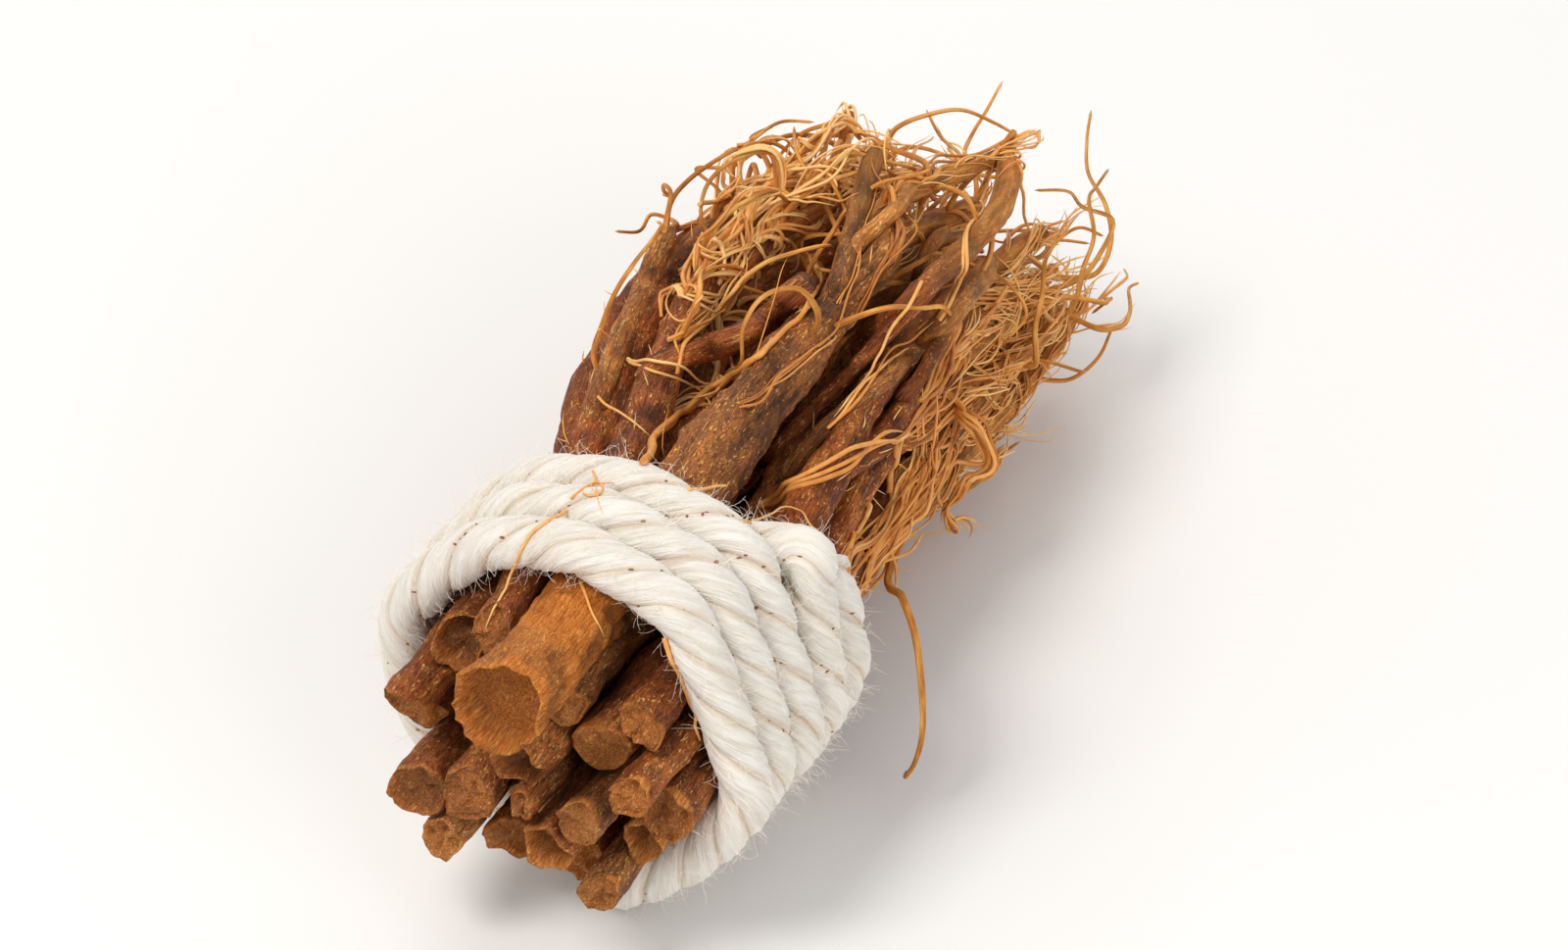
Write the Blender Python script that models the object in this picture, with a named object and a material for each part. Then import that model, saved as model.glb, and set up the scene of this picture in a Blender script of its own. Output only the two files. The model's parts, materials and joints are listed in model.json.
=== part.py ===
"""A bundle of dried ginseng roots held by a cotton rope, lying on its side.

Blender builds it in metres, +Z up. The roots run along X, with their cut ends at low x and
their fibrous tips at high x. Each root, with its forks and rootlets, is one object, and the
rope is another. The origin is the middle of the bundle's box, at the surface it lies on.
"""

import math

import bmesh
import bpy
import numpy as np

MM = 0.001

# The bundle along X, measured from the middle of the tie
CUT_END = -40 * MM
TIP_END = 132 * MM
STATION_STEP = 8 * MM
TIE_HALF_WIDTH = 17 * MM

# The middle of the finished bundle's box, at the surface it lies on, from the middle of the tie.
# The rope is pressed flat there, and the roots and rootlets stay just above it.
ORIGIN = np.array([56.147, 6.123, -0.97]) * MM
SURFACE_GAP = 0.07 * MM

# The roots inside the tie: the ring that shows, the ring behind it, and the middle.
# Each is (angle from +Y towards +Z in degrees, radius).
ROOT_GAP = 0.5 * MM
ROOT_SLIMMING = 0.92
SETTLE_ROUNDS = 900
OUTER_RING_RADIUS = 20.6 * MM
OUTER_RING = [
    (18, 4.3 * MM),
    (43, 4.8 * MM),
    (67, 3.8 * MM),
    (95, 7.0 * MM),
    (148, 4.0 * MM),
    (169, 3.4 * MM),
    (190, 4.5 * MM),
    (212, 3.5 * MM),
    (231, 3.3 * MM),
    (249, 3.6 * MM),
    (290, 4.4 * MM),
    (312, 3.6 * MM),
    (333, 4.7 * MM),
    (355, 3.6 * MM),
]
INNER_RING_RADIUS = 11.5 * MM
INNER_RING = [
    (20, 4.9 * MM),
    (65, 4.0 * MM),
    (110, 3.4 * MM),
    (155, 5.0 * MM),
    (200, 3.9 * MM),
    (245, 4.5 * MM),
    (290, 3.4 * MM),
    (335, 4.6 * MM),
]
MIDDLE_RING_RADIUS = 3 * MM
MIDDLE_RING = [(80, 4.6 * MM), (260, 2.6 * MM)]
THICK_ROOT = 3

# How the bundle opens, leans and thins towards its tips: (x, spread of the rings, sideways, height)
TIE_RADIUS = 26.6 * MM
TIE_MIDDLE_HEIGHT = 34 * MM
BUNDLE_SHAPE = [
    (-40 * MM, 0.98, -2 * MM, TIE_MIDDLE_HEIGHT),
    (-18 * MM, 0.92, 0, TIE_MIDDLE_HEIGHT),
    (18 * MM, 0.92, 0.5 * MM, TIE_MIDDLE_HEIGHT),
    (44 * MM, 1.16, 8 * MM, 34 * MM),
    (66 * MM, 1.22, 14 * MM, 33 * MM),
    (88 * MM, 1.16, 17 * MM, 31 * MM),
    (110 * MM, 1.0, 15 * MM, 27 * MM),
    (132 * MM, 0.74, 11 * MM, 22 * MM),
]
THICK_ROOT_LEAN = 0.3
UNDERSIDE_SAG = 9 * MM
SAG_FROM, SAG_TO = 30 * MM, 90 * MM

# Forks and rootlets
FORKS_PER_ROOT = (1, 2)
FORK_FROM, FORK_TO = 30 * MM, 78 * MM
ROOTLET_RADIUS = 0.62 * MM
ROOTLET_STEP = 5.6 * MM
ROOTLET_STEPS = 6
TIP_ROOTLETS = 58
SIDE_ROOTLETS = 26
ROOTLET_REACH = 11 * MM
TANGLE = (30, 105)
TANGLE_SHARE = 0.6
ROOTLET_GAP = 0.4 * MM
HANGING_FROM = 6
HANGING = [
    (54 * MM, -16 * MM, 22 * MM),
    (45 * MM, -23 * MM, 25 * MM),
    (37 * MM, -29.5 * MM, 26 * MM),
    (31 * MM, -34 * MM, 22 * MM),
    (28.6 * MM, -35.5 * MM, 16 * MM),
    (28.4 * MM, -34.5 * MM, 10 * MM),
    (30 * MM, -32 * MM, 4.8 * MM),
    (34 * MM, -30 * MM, 2.1 * MM),
]

# The rope comes out from under its turns, goes three and a bit times round, crossing to its
# next lane at the back, then passes back under them all and ends up the side past the first
# lane. A place on it is (x, angle, distance from the middle).
ROPE_RADIUS = 4 * MM
ROPE_GAP = 0.35 * MM
ROPE_PITCH = 8.5 * MM
FIRST_LANE = 12.8 * MM
CROSS_FROM, CROSS_TO = 265, 360
UNDER = 23.2 * MM
ROPE_START = [
    (-7 * MM, 122, UNDER),
    (-2 * MM, 122, UNDER),
    (4 * MM, 122, UNDER),
    (8.4 * MM, 122.5, UNDER),
    (11.3 * MM, 125, 24 * MM),
    (12.6 * MM, 130, 26.2 * MM),
]
TURNS_FROM, TURNS_TO = 138, 1080 + 246
ROPE_BACK = [
    (-12.4 * MM, 255, 30 * MM),
    (-11.6 * MM, 262.5, 26.8 * MM),
    (-8.8 * MM, 268, 24 * MM),
    (-3 * MM, 271, UNDER),
    (3 * MM, 272, UNDER),
    (9 * MM, 272, UNDER),
    (15 * MM, 271.5, UNDER),
    (19 * MM, 268.5, 24.6 * MM),
    (21.2 * MM, 262.5, 27.6 * MM),
]
SIDE_LANE = 21.6 * MM
SIDE_FROM, SIDE_TO = 247, 149
ROPE_POINT_STEP = 8
STRAND_TWIST_LENGTH = 27 * MM
ROPE_LOBES = 3
ROPE_VALLEY = 0.88

# How each kind of rod is drawn: sides, how deep its furrows are
OUTER_SIDES, INNER_SIDES, FORK_SIDES, ROOTLET_SIDES = 7, 5, 5, 3
FURROW = 0.07
CUT_BEVEL = 1.1 * MM
CUT_NARROWING = 0.8

# Colours of the bark, of the smooth reddish roots and of the cotton
DARK_BARK = (0.105, 0.045, 0.018, 1)
GREY_BARK = (0.135, 0.08, 0.045, 1)
RED_BARK = (0.22, 0.075, 0.025, 1)
TAN_BARK = (0.36, 0.16, 0.055, 1)
COTTON = (0.86, 0.83, 0.75, 1)
RED_ROOTS = (0, 1, 4, 5, 9)
TAN_ROOTS = (7, 11, 16, 20)
GREY_ROOTS = (3, 8, 14, 18)


def smooth_step(low, high, x):
    t = np.clip((x - low) / (high - low), 0, 1)
    return t * t * (3 - 2 * t)


def clear_scene():
    for obj in list(bpy.data.objects):
        bpy.data.objects.remove(obj)


class Rod:
    """A root or a fork of one: its radius and its middle at each station, or no radius where it has ended."""

    def __init__(self, root, parent, first, last, radius, home):
        self.root = root
        self.parent = parent
        self.first = first
        self.last = last
        self.radius = radius
        self.home = home


def stations():
    count = int(round((TIP_END - CUT_END) / STATION_STEP)) + 1
    return CUT_END + STATION_STEP * np.arange(count)


def wander(rng, xs, amount):
    """A slow sideways sway, none inside the tie and growing towards the tips."""
    sway = np.zeros((len(xs), 2))
    for axis in range(2):
        for length in (95 * MM, 42 * MM):
            phase = rng.uniform(0, 2 * math.pi)
            sway[:, axis] += rng.uniform(0.4, 1.0) * np.sin(2 * math.pi * xs / length + phase)
    loose = smooth_step(TIE_HALF_WIDTH, 60 * MM, xs) + 0.35 * smooth_step(-18 * MM, -34 * MM, xs)
    return sway * amount * loose[:, None]


def root_rods(rng):
    """The main rod of each root, in ring order."""
    xs = stations()
    shape = np.array(BUNDLE_SHAPE)
    spread, sideways, height = (np.interp(xs, shape[:, 0], shape[:, i]) for i in (1, 2, 3))
    rods = []
    rings = [
        (OUTER_RING_RADIUS, OUTER_RING),
        (INNER_RING_RADIUS, INNER_RING),
        (MIDDLE_RING_RADIUS, MIDDLE_RING),
    ]
    for ring_radius, ring in rings:
        for degrees, tie_radius in ring:
            root = len(rods)
            thick = root == THICK_ROOT
            first = 0 if thick else rng.integers(1, 3)
            last = len(xs) - 1 - (6 if thick else rng.integers(0, 5))
            start, end = xs[first], xs[last]
            along = np.clip((xs - start) / (end - start), 0, 1)
            taper = 1 - 0.42 * smooth_step(0.3, 1.0, along)
            knots = 1 + 0.07 * np.sin(2 * math.pi * xs / (31 * MM) + rng.uniform(0, 2 * math.pi))
            radius = ROOT_SLIMMING * tie_radius * taper * knots
            radius[first] *= 1.12 if thick else 1.0
            radius[last] *= 0.55
            radius[: first] = 0
            radius[last + 1 :] = 0
            angle = math.radians(degrees)
            home = np.empty((len(xs), 2))
            lean = THICK_ROOT_LEAN if thick else 1
            home[:, 0] = ring_radius * spread * math.cos(angle) + lean * sideways
            home[:, 1] = ring_radius * spread * math.sin(angle) + height
            sag = UNDERSIDE_SAG * max(0, -math.sin(angle)) * ring_radius / OUTER_RING_RADIUS
            home[:, 1] -= sag * smooth_step(SAG_FROM, SAG_TO, xs)
            home += wander(rng, xs, 2.6 * MM)
            rods.append(Rod(root, None, first, last, radius, home))
    return rods


def add_forks(rng, rods):
    """Forks leave a root past the tie, lie beside it and run out among the tips."""
    xs = stations()
    for parent in list(rods):
        side = rng.uniform(0, 2 * math.pi)
        for fork in range(rng.integers(FORKS_PER_ROOT[0], FORKS_PER_ROOT[1] + 1)):
            start = rng.uniform(FORK_FROM, FORK_TO)
            first = int(np.searchsorted(xs, start))
            if first > parent.last - 2:
                continue
            last = len(xs) - 1 - rng.integers(0, 4)
            along = np.clip((xs - xs[first]) / (xs[last] - xs[first]), 0, 1)
            radius = 0.62 * parent.radius[first] * (1 - 0.45 * along)
            radius[:first] = 0
            radius[last + 1 :] = 0
            side += rng.uniform(1.8, 3.2)
            away = np.array([math.cos(side), math.sin(side)])
            opening = smooth_step(xs[first], xs[first] + 30 * MM, xs)
            home = parent.home + away * (5.5 * MM * opening)[:, None]
            home += wander(rng, xs, 1.5 * MM)
            parent.radius[first + 1 :] *= 0.86
            rods.append(Rod(parent.root, parent, first, last, radius, home))


def at_place(x, degrees, out):
    """A point on the rope, from its place."""
    angle = math.radians(degrees)
    return x, out * math.cos(angle), out * math.sin(angle) + TIE_MIDDLE_HEIGHT


def tail_rods():
    """Where the two ends of the rope lie under its turns, so that the roots make room for them."""
    xs = stations()
    rods = []
    for tail, places in enumerate((ROPE_START, ROPE_BACK[2:])):
        points = np.array([at_place(*place) for place in places])
        used = np.flatnonzero((xs > -17 * MM) & (xs < (17 if tail == 0 else 25) * MM))
        centres = np.stack([np.interp(xs, points[:, 0], points[:, i]) for i in (1, 2)], axis=1)
        radius = np.zeros(len(xs))
        radius[used] = ROPE_RADIUS
        rods.append(Rod(-1 - tail, None, used[0], used[-1], radius, centres))
    return rods


def push_apart(place, radius, touching, share):
    """How far each circle moves at each station to stand clear of the others."""
    apart = place[:, None] - place[None, :]
    distance = np.linalg.norm(apart, axis=3) + 1e-9
    short = np.clip(radius[:, None] + radius[None, :] + ROOT_GAP - distance, 0, None) * touching
    return ((short / distance)[..., None] * apart * share).sum(axis=1)


def settle(rods):
    """Pushes the rods apart until none overlap, holding each near its home and above the surface.

    The first rounds let each rod find its way as a whole, with the rope squeezing the tie.
    The last rounds only separate. Every other round looks halfway between the stations.
    """
    xs = stations()
    count = len(rods)
    radius = np.array([rod.radius for rod in rods])
    here = radius > 0
    home = np.array([rod.home for rod in rods])
    free = np.array([rod.root >= 0 for rod in rods])[:, None, None]
    number = {id(rod): i for i, rod in enumerate(rods)}
    forks = [(i, number[id(rod.parent)], rod.first) for i, rod in enumerate(rods) if rod.parent]
    joined = np.zeros((count, count, len(xs)), bool)
    for fork, parent, first in forks:
        joined[fork, parent, first : first + 2] = True
        joined[parent, fork, first : first + 2] = True
    touching = here[:, None] & here[None, :] & ~joined & ~np.eye(count, dtype=bool)[:, :, None]
    halfway_radius = 0.5 * (radius[:, :-1] + radius[:, 1:])
    halfway_touching = touching[:, :, :-1] & touching[:, :, 1:]
    share = np.where(free[None, :, :, 0], 1.0, 2.0)[..., None]
    tied = np.abs(xs) < TIE_HALF_WIDTH + 2 * MM
    middle = np.array([0, TIE_MIDDLE_HEIGHT])
    floor = np.where(here, radius + ORIGIN[2] + SURFACE_GAP, -1)
    place = home.copy()
    for turn in range(SETTLE_ROUNDS):
        done = turn / SETTLE_ROUNDS
        loose = 1 - smooth_step(0.45, 0.75, done)
        move = 0.04 * loose * (home - place)
        bend = 0.5 * (place[:, :-2] + place[:, 2:]) - place[:, 1:-1]
        inner = here[:, 1:-1] & here[:, :-2] & here[:, 2:]
        move[:, 1:-1] += 0.25 * loose * bend * inner[:, :, None]
        out = place - middle
        reach = np.linalg.norm(out, axis=2) + 1e-9
        excess = np.clip(reach + radius - TIE_RADIUS, 0, None) * tied * here
        move -= (0.5 * loose * excess / reach)[:, :, None] * out
        if turn % 2:
            halfway = 0.5 * (place[:, :-1] + place[:, 1:])
            push = np.zeros_like(place)
            shift = 0.3 * push_apart(halfway, halfway_radius, halfway_touching, share)
            push[:, :-1] += shift
            push[:, 1:] += shift
        else:
            push = 0.5 * push_apart(place, radius, touching, share)
        shared = push.copy()
        shared[:, 1:-1] = 0.5 * push[:, 1:-1] + 0.25 * (push[:, :-2] + push[:, 2:])
        move += loose * shared + (1 - loose) * push
        place = place + move * free
        place[:, :, 1] = np.maximum(place[:, :, 1], floor)
        for fork, parent, first in forks:
            place[fork, first] = place[parent, first]
    return place


def around(place, radius, xs, x, clearance):
    """The taut outline of every rod at x, pushed out by clearance: its distance from the middle per degree."""
    step = (x - xs[0]) / STATION_STEP
    low = int(np.clip(math.floor(step), 0, len(xs) - 2))
    share = step - low
    here = (radius[:, low] > 0) & (radius[:, low + 1] > 0)
    centres = (1 - share) * place[here, low] + share * place[here, low + 1]
    centres = centres - np.array([0, TIE_MIDDLE_HEIGHT])
    reach = (1 - share) * radius[here, low] + share * radius[here, low + 1] + clearance
    degrees = np.radians(np.arange(360))
    ways = np.stack([np.cos(degrees), np.sin(degrees)])
    support = (centres @ ways + reach[:, None]).max(axis=0)
    turned = np.cos(degrees[:, None] - degrees[None, :])
    return np.where(turned > 0.3, support[None, :] / np.maximum(turned, 0.3), np.inf).min(axis=1)


def rope_route(rods, place):
    """The middle of the rope: out from under the turns, three and a bit times round, and in under them again."""
    xs = stations()
    radius = np.array([rod.radius for rod in rods])
    lanes = np.arange(-22, 28) * MM
    roots_only = radius.copy()
    roots_only[-2:] = 0
    over_roots = np.array([around(place, roots_only, xs, x, ROPE_GAP + ROPE_RADIUS) for x in lanes])
    over_tails = np.array([around(place, radius, xs, x, ROPE_GAP + ROPE_RADIUS) for x in lanes])
    over = np.maximum(over_roots, over_tails)
    wide = np.array([over[max(0, i - 3) : i + 4].max(axis=0) for i in range(len(lanes))])
    weights = np.hanning(19)[1:-1]
    weights /= weights.sum()
    level = np.array([np.convolve(np.r_[row[-8:], row, row[:8]], weights, "valid") for row in wide])
    level = np.maximum(level, wide)

    def on_top(x, degrees):
        row = (x - lanes[0]) / MM
        low = int(row)
        column = int(round(degrees)) % 360
        out = (1 - (row - low)) * level[low, column] + (row - low) * level[low + 1, column]
        return at_place(x, degrees, out)

    points = [at_place(*place) for place in ROPE_START]
    for degrees in np.arange(TURNS_FROM, TURNS_TO, ROPE_POINT_STEP):
        turn = degrees // 360
        lane = turn + smooth_step(CROSS_FROM, CROSS_TO, degrees % 360)
        points.append(on_top(FIRST_LANE - ROPE_PITCH * lane, degrees))
    points += [at_place(*place) for place in ROPE_BACK]
    for degrees in np.arange(SIDE_FROM, SIDE_TO, -ROPE_POINT_STEP):
        points.append(on_top(SIDE_LANE, degrees))
    return np.array(points)


def spheres_along(points, radii, root, step):
    """Points close together along a rod, each with its radius and its root's number."""
    rows = []
    for a, b, ra, rb in zip(points[:-1], points[1:], radii[:-1], radii[1:]):
        count = max(1, int(math.ceil(np.linalg.norm(b - a) / step)))
        for share in np.arange(count) / count:
            rows.append((*((1 - share) * a + share * b), (1 - share) * ra + share * rb, root))
    rows.append((*points[-1], radii[-1], root))
    return rows


def rod_line(rod, place):
    """The middle line of a settled rod and its radius at each point."""
    xs = stations()
    used = np.arange(rod.first, rod.last + 1)
    points = np.column_stack([xs[used], place[used]])
    return points, rod.radius[used]


class Clear:
    """Everything that a growing rootlet has to keep clear of."""

    def __init__(self, rows):
        self.rows = np.array(rows)

    def add(self, rows):
        self.rows = np.vstack([self.rows, rows])

    def free(self, a, b, root, margin):
        near = self.rows[np.abs(self.rows[:, 0] - a[0]) < 22 * MM]
        near = near[near[:, 4] != root]
        for share in (0.2, 0.4, 0.6, 0.8, 1.0):
            p = (1 - share) * a + share * b
            if p[2] < 1.2 * ROOTLET_RADIUS + ORIGIN[2] + SURFACE_GAP:
                return False
            gaps = np.linalg.norm(near[:, :3] - p, axis=1) - near[:, 3] - margin
            if len(gaps) and gaps.min() < 0:
                return False
        return True


def within_reach(shape, place):
    """Whether a place is no further from the bundle's middle than rootlets reach."""
    spread, sideways, height = (np.interp(place[0], shape[:, 0], shape[:, i]) for i in (1, 2, 3))
    return math.hypot(place[1] - sideways, place[2] - height) < spread * OUTER_RING_RADIUS + ROOTLET_REACH


def grow_rootlet(rng, clear, root, start, heading, drift, curl):
    """A curly thread that feels its way past everything else, or None if it is hemmed in."""
    shape = np.array(BUNDLE_SHAPE)
    points = [start]
    turn_axis = rng.normal(size=3)
    for step in range(ROOTLET_STEPS):
        turn_axis += 0.5 * rng.normal(size=3)
        turn_axis /= np.linalg.norm(turn_axis)
        found = None
        for attempt in range(14):
            way = heading + curl * np.cross(turn_axis, heading) + drift
            way = way + (0.18 + 0.09 * attempt) * rng.normal(size=3)
            way /= np.linalg.norm(way)
            end = points[-1] + way * ROOTLET_STEP
            margin = ROOTLET_RADIUS + ROOTLET_GAP
            if within_reach(shape, end) and clear.free(points[-1], end, root, margin):
                found = end
                break
        if found is None:
            break
        heading = (found - points[-1]) / ROOTLET_STEP
        points.append(found)
    return np.array(points) if len(points) > 3 else None


def grow_rootlets(rng, rods, place, rope):
    """Rootlets at the tips, where they are thick and curly, and along the side of the bundle."""
    lines = [rod_line(rod, place[i]) for i, rod in enumerate(rods) if rod.root >= 0]
    rows = []
    for rod, (points, radii) in zip(rods, lines):
        rows += spheres_along(points, radii, rod.root, 1.5 * MM)
    rows += spheres_along(rope, np.full(len(rope), ROPE_RADIUS), -1, 1.5 * MM)
    clear = Clear(rows)
    shape = np.array(BUNDLE_SHAPE)
    start = lines[HANGING_FROM][0][-7]
    line = np.vstack([start, HANGING])
    radius = ROOTLET_RADIUS * np.linspace(1.5, 1.0, len(line))
    clear.add(spheres_along(line, radius, HANGING_FROM, 1.2 * MM))
    grown = [(HANGING_FROM, line, radius)]
    wanted = [("tip", TIP_ROOTLETS), ("side", SIDE_ROOTLETS)]
    for kind, count in wanted:
        made = tries = 0
        while made < count and tries < 30 * count:
            tries += 1
            i = int(rng.integers(len(lines)))
            points, radii = lines[i]
            share = rng.uniform(0.62, 0.99) if kind == "tip" else rng.uniform(0.34, 0.72)
            at = share * (len(points) - 1)
            low = int(at)
            start = points[low] + (at - low) * (points[low + 1] - points[low])
            thick = radii[low]
            if kind == "side" and start[0] < 30 * MM:
                continue
            sideways, height = (np.interp(start[0], shape[:, 0], shape[:, i]) for i in (2, 3))
            out = np.array([0, start[1] - sideways, start[2] - height])
            if kind == "side" and np.linalg.norm(out) < 13 * MM:
                continue
            around_bundle = math.degrees(math.atan2(out[2], out[1]))
            tangled = TANGLE[0] < around_bundle < TANGLE[1]
            if kind == "side" and made < TANGLE_SHARE * count and not tangled:
                continue
            out = out / (np.linalg.norm(out) + 1e-6) + 0.5 * rng.normal(size=3)
            out[0] = abs(out[0]) if kind == "tip" else 0.6
            heading = out / np.linalg.norm(out)
            end = start + heading * (thick + 2.4 * MM)
            if not clear.free(start + heading * thick, end, rods[i].root, ROOTLET_RADIUS + ROOTLET_GAP):
                continue
            inward = np.array([0, sideways - start[1], height - start[2]]) / (30 * MM)
            drift = 0.3 * np.array([1.0, 0, 0]) + 0.22 * inward
            line = grow_rootlet(rng, clear, rods[i].root, end, heading, drift, rng.uniform(0.35, 0.9))
            if line is None:
                continue
            line = np.vstack([start, line])
            radius = ROOTLET_RADIUS * np.linspace(1.15, 0.7, len(line))
            clear.add(spheres_along(line, radius, rods[i].root, 1.2 * MM))
            grown.append((rods[i].root, line, radius))
            made += 1
    return grown


def layout():
    """Every root's rods and rootlets, and the rope's route, with the origin under the middle of their box."""
    rng = np.random.default_rng(11)
    rods = root_rods(rng)
    add_forks(rng, rods)
    rods += tail_rods()
    place = settle(rods)
    rope = rope_route(rods, place)
    rootlets = grow_rootlets(rng, rods, place, rope)
    roots = [[] for _ in range(len(OUTER_RING) + len(INNER_RING) + len(MIDDLE_RING))]
    for i, rod in enumerate(rods):
        if rod.root >= 0:
            roots[rod.root].append(("fork" if rod.parent else "main", *rod_line(rod, place[i])))
    for root, line, radius in rootlets:
        roots[root].append(("rootlet", line, radius))
    return [[(k, line - ORIGIN, r) for k, line, r in root] for root in roots], rope - ORIGIN


def material(name, colour, roughness):
    mat = bpy.data.materials.new(name)
    mat.use_nodes = True
    shader = mat.node_tree.nodes["Principled BSDF"]
    shader.inputs["Base Color"].default_value = colour
    shader.inputs["Roughness"].default_value = roughness
    mat.diffuse_color = colour
    return mat


def profile(name, radii):
    """A closed outline of unit size, hidden, that a curve carries along itself."""
    curve = bpy.data.curves.new(name, "CURVE")
    spline = curve.splines.new("POLY")
    spline.points.add(len(radii) - 1)
    for i, radius in enumerate(radii):
        angle = 2 * math.pi * i / len(radii)
        spline.points[i].co = (radius * math.cos(angle), radius * math.sin(angle), 0, 1)
    spline.use_cyclic_u = True
    obj = bpy.data.objects.new(name, curve)
    bpy.context.scene.collection.objects.link(obj)
    obj.hide_render = True
    return obj


def rod_object(name, line, radii, outline, tilts):
    """A closed mesh of the outline carried along a line, with a radius and a turn at each point."""
    curve = bpy.data.curves.new(name, "CURVE")
    curve.dimensions = "3D"
    curve.bevel_mode = "OBJECT"
    curve.bevel_object = outline
    curve.use_fill_caps = True
    spline = curve.splines.new("POLY")
    spline.points.add(len(line) - 1)
    for point, place, radius, tilt in zip(spline.points, line, radii, tilts):
        point.co = (*place, 1)
        point.radius = radius
        point.tilt = tilt
    guide = bpy.data.objects.new(name, curve)
    bpy.context.scene.collection.objects.link(guide)
    bpy.context.view_layer.update()
    graph = bpy.context.evaluated_depsgraph_get()
    mesh = bpy.data.meshes.new_from_object(guide.evaluated_get(graph))
    bpy.data.objects.remove(guide)
    work = bmesh.new()
    work.from_mesh(mesh)
    bmesh.ops.remove_doubles(work, verts=work.verts, dist=0.01 * MM)
    bmesh.ops.triangulate(work, faces=work.faces)
    bmesh.ops.recalc_face_normals(work, faces=work.faces)
    work.to_mesh(mesh)
    work.free()
    obj = bpy.data.objects.new(name, mesh)
    bpy.context.scene.collection.objects.link(obj)
    return obj


def apply_boolean(obj, operation, other):
    """Joins a collection of objects to obj, or cuts one object away, for good."""
    modifier = obj.modifiers.new(operation.title(), "BOOLEAN")
    modifier.operation = operation
    modifier.solver = "EXACT"
    if isinstance(other, bpy.types.Collection):
        modifier.operand_type = "COLLECTION"
        modifier.collection = other
        used = list(other.objects)
    else:
        modifier.object = other
        used = [other]
    bpy.context.view_layer.update()
    graph = bpy.context.evaluated_depsgraph_get()
    mesh = bpy.data.meshes.new_from_object(obj.evaluated_get(graph))
    obj.modifiers.clear()
    obj.data = mesh
    for piece in used:
        bpy.data.objects.remove(piece)
    if isinstance(other, bpy.types.Collection):
        bpy.data.collections.remove(other)


def with_cut_end(line, radii):
    """The line and radii of a main rod, with a bevelled rim round its cut end and a rounded tip."""
    way = (line[0] - line[1]) / np.linalg.norm(line[0] - line[1])
    cut = line[0] + way * CUT_BEVEL
    away = (line[-1] - line[-2]) / np.linalg.norm(line[-1] - line[-2])
    tip = line[-1] + away * radii[-1]
    line = np.vstack([cut, line, tip])
    radii = np.r_[radii[0] * CUT_NARROWING, radii[0] * 1.04, radii[1:], radii[-1] * 0.5]
    return line, radii


def build_root(number, pieces, outlines, mat, rng):
    """One root: its main rod joined with its forks and rootlets."""
    name = f"root_{number + 1:02d}"
    root = None
    parts = bpy.data.collections.new(name + "_parts")
    for kind, line, radii in pieces:
        if kind == "main":
            line, radii = with_cut_end(line, radii)
            outline = outlines["outer" if number < len(OUTER_RING) else "inner"]
        else:
            outline = outlines[kind]
        turn = rng.uniform(0, 2 * math.pi)
        obj = rod_object(name, line, radii, outline, np.full(len(line), turn))
        if kind == "main":
            root = obj
        else:
            bpy.context.scene.collection.objects.unlink(obj)
            parts.objects.link(obj)
    if len(parts.objects):
        apply_boolean(root, "UNION", parts)
    root.name = name
    root.data.name = name
    root.data.materials.clear()
    root.data.materials.append(mat)
    return root


def build_rope(route, outline, mat):
    """The rope as one piece twisted to the left, flattened where it lies on the surface."""
    run = np.r_[0, np.cumsum(np.linalg.norm(np.diff(route, axis=0), axis=1))]
    turns = -2 * math.pi * run / STRAND_TWIST_LENGTH
    rope = rod_object("rope_tie", route, np.full(len(route), ROPE_RADIUS), outline, turns)
    slab = bpy.data.meshes.new("slab")
    work = bmesh.new()
    bmesh.ops.create_cube(work, size=0.4)
    bmesh.ops.translate(work, verts=work.verts, vec=(0, 0, -0.2))
    work.to_mesh(slab)
    work.free()
    cutter = bpy.data.objects.new("slab", slab)
    bpy.context.scene.collection.objects.link(cutter)
    apply_boolean(rope, "DIFFERENCE", cutter)
    rope.data.materials.clear()
    rope.data.materials.append(mat)


def root_material(number):
    if number in RED_ROOTS:
        return "bark_reddish", RED_BARK
    if number in TAN_ROOTS:
        return "bark_tan", TAN_BARK
    if number in GREY_ROOTS:
        return "bark_grey", GREY_BARK
    return "bark_dark", DARK_BARK


def furrowed(sides, rng):
    wave = np.cos(2 * math.pi * np.arange(sides) / sides * 3 + 0.7)
    return 1 - FURROW * (0.5 + 0.5 * wave) - 0.03 * rng.uniform(size=sides)


def main():
    clear_scene()
    roots, rope = layout()
    rng = np.random.default_rng(5)
    outlines = {
        "outer": profile("outer_outline", furrowed(OUTER_SIDES, rng)),
        "inner": profile("inner_outline", furrowed(INNER_SIDES, rng)),
        "fork": profile("fork_outline", furrowed(FORK_SIDES, rng)),
        "rootlet": profile("rootlet_outline", np.ones(ROOTLET_SIDES)),
        "rope": profile("rope_outline", np.where(np.arange(2 * ROPE_LOBES) % 2, ROPE_VALLEY, 1.0)),
    }
    for number, pieces in enumerate(roots):
        name, colour = root_material(number)
        build_root(number, pieces, outlines, material(f"{name}_{number + 1:02d}", colour, 0.75), rng)
    build_rope(rope, outlines["rope"], material("cotton", COTTON, 0.95))
    for outline in outlines.values():
        bpy.data.objects.remove(outline)


main()
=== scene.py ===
import json
import math
import bmesh
import bpy
import numpy as np
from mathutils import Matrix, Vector
from mathutils.bvhtree import BVHTree

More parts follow.
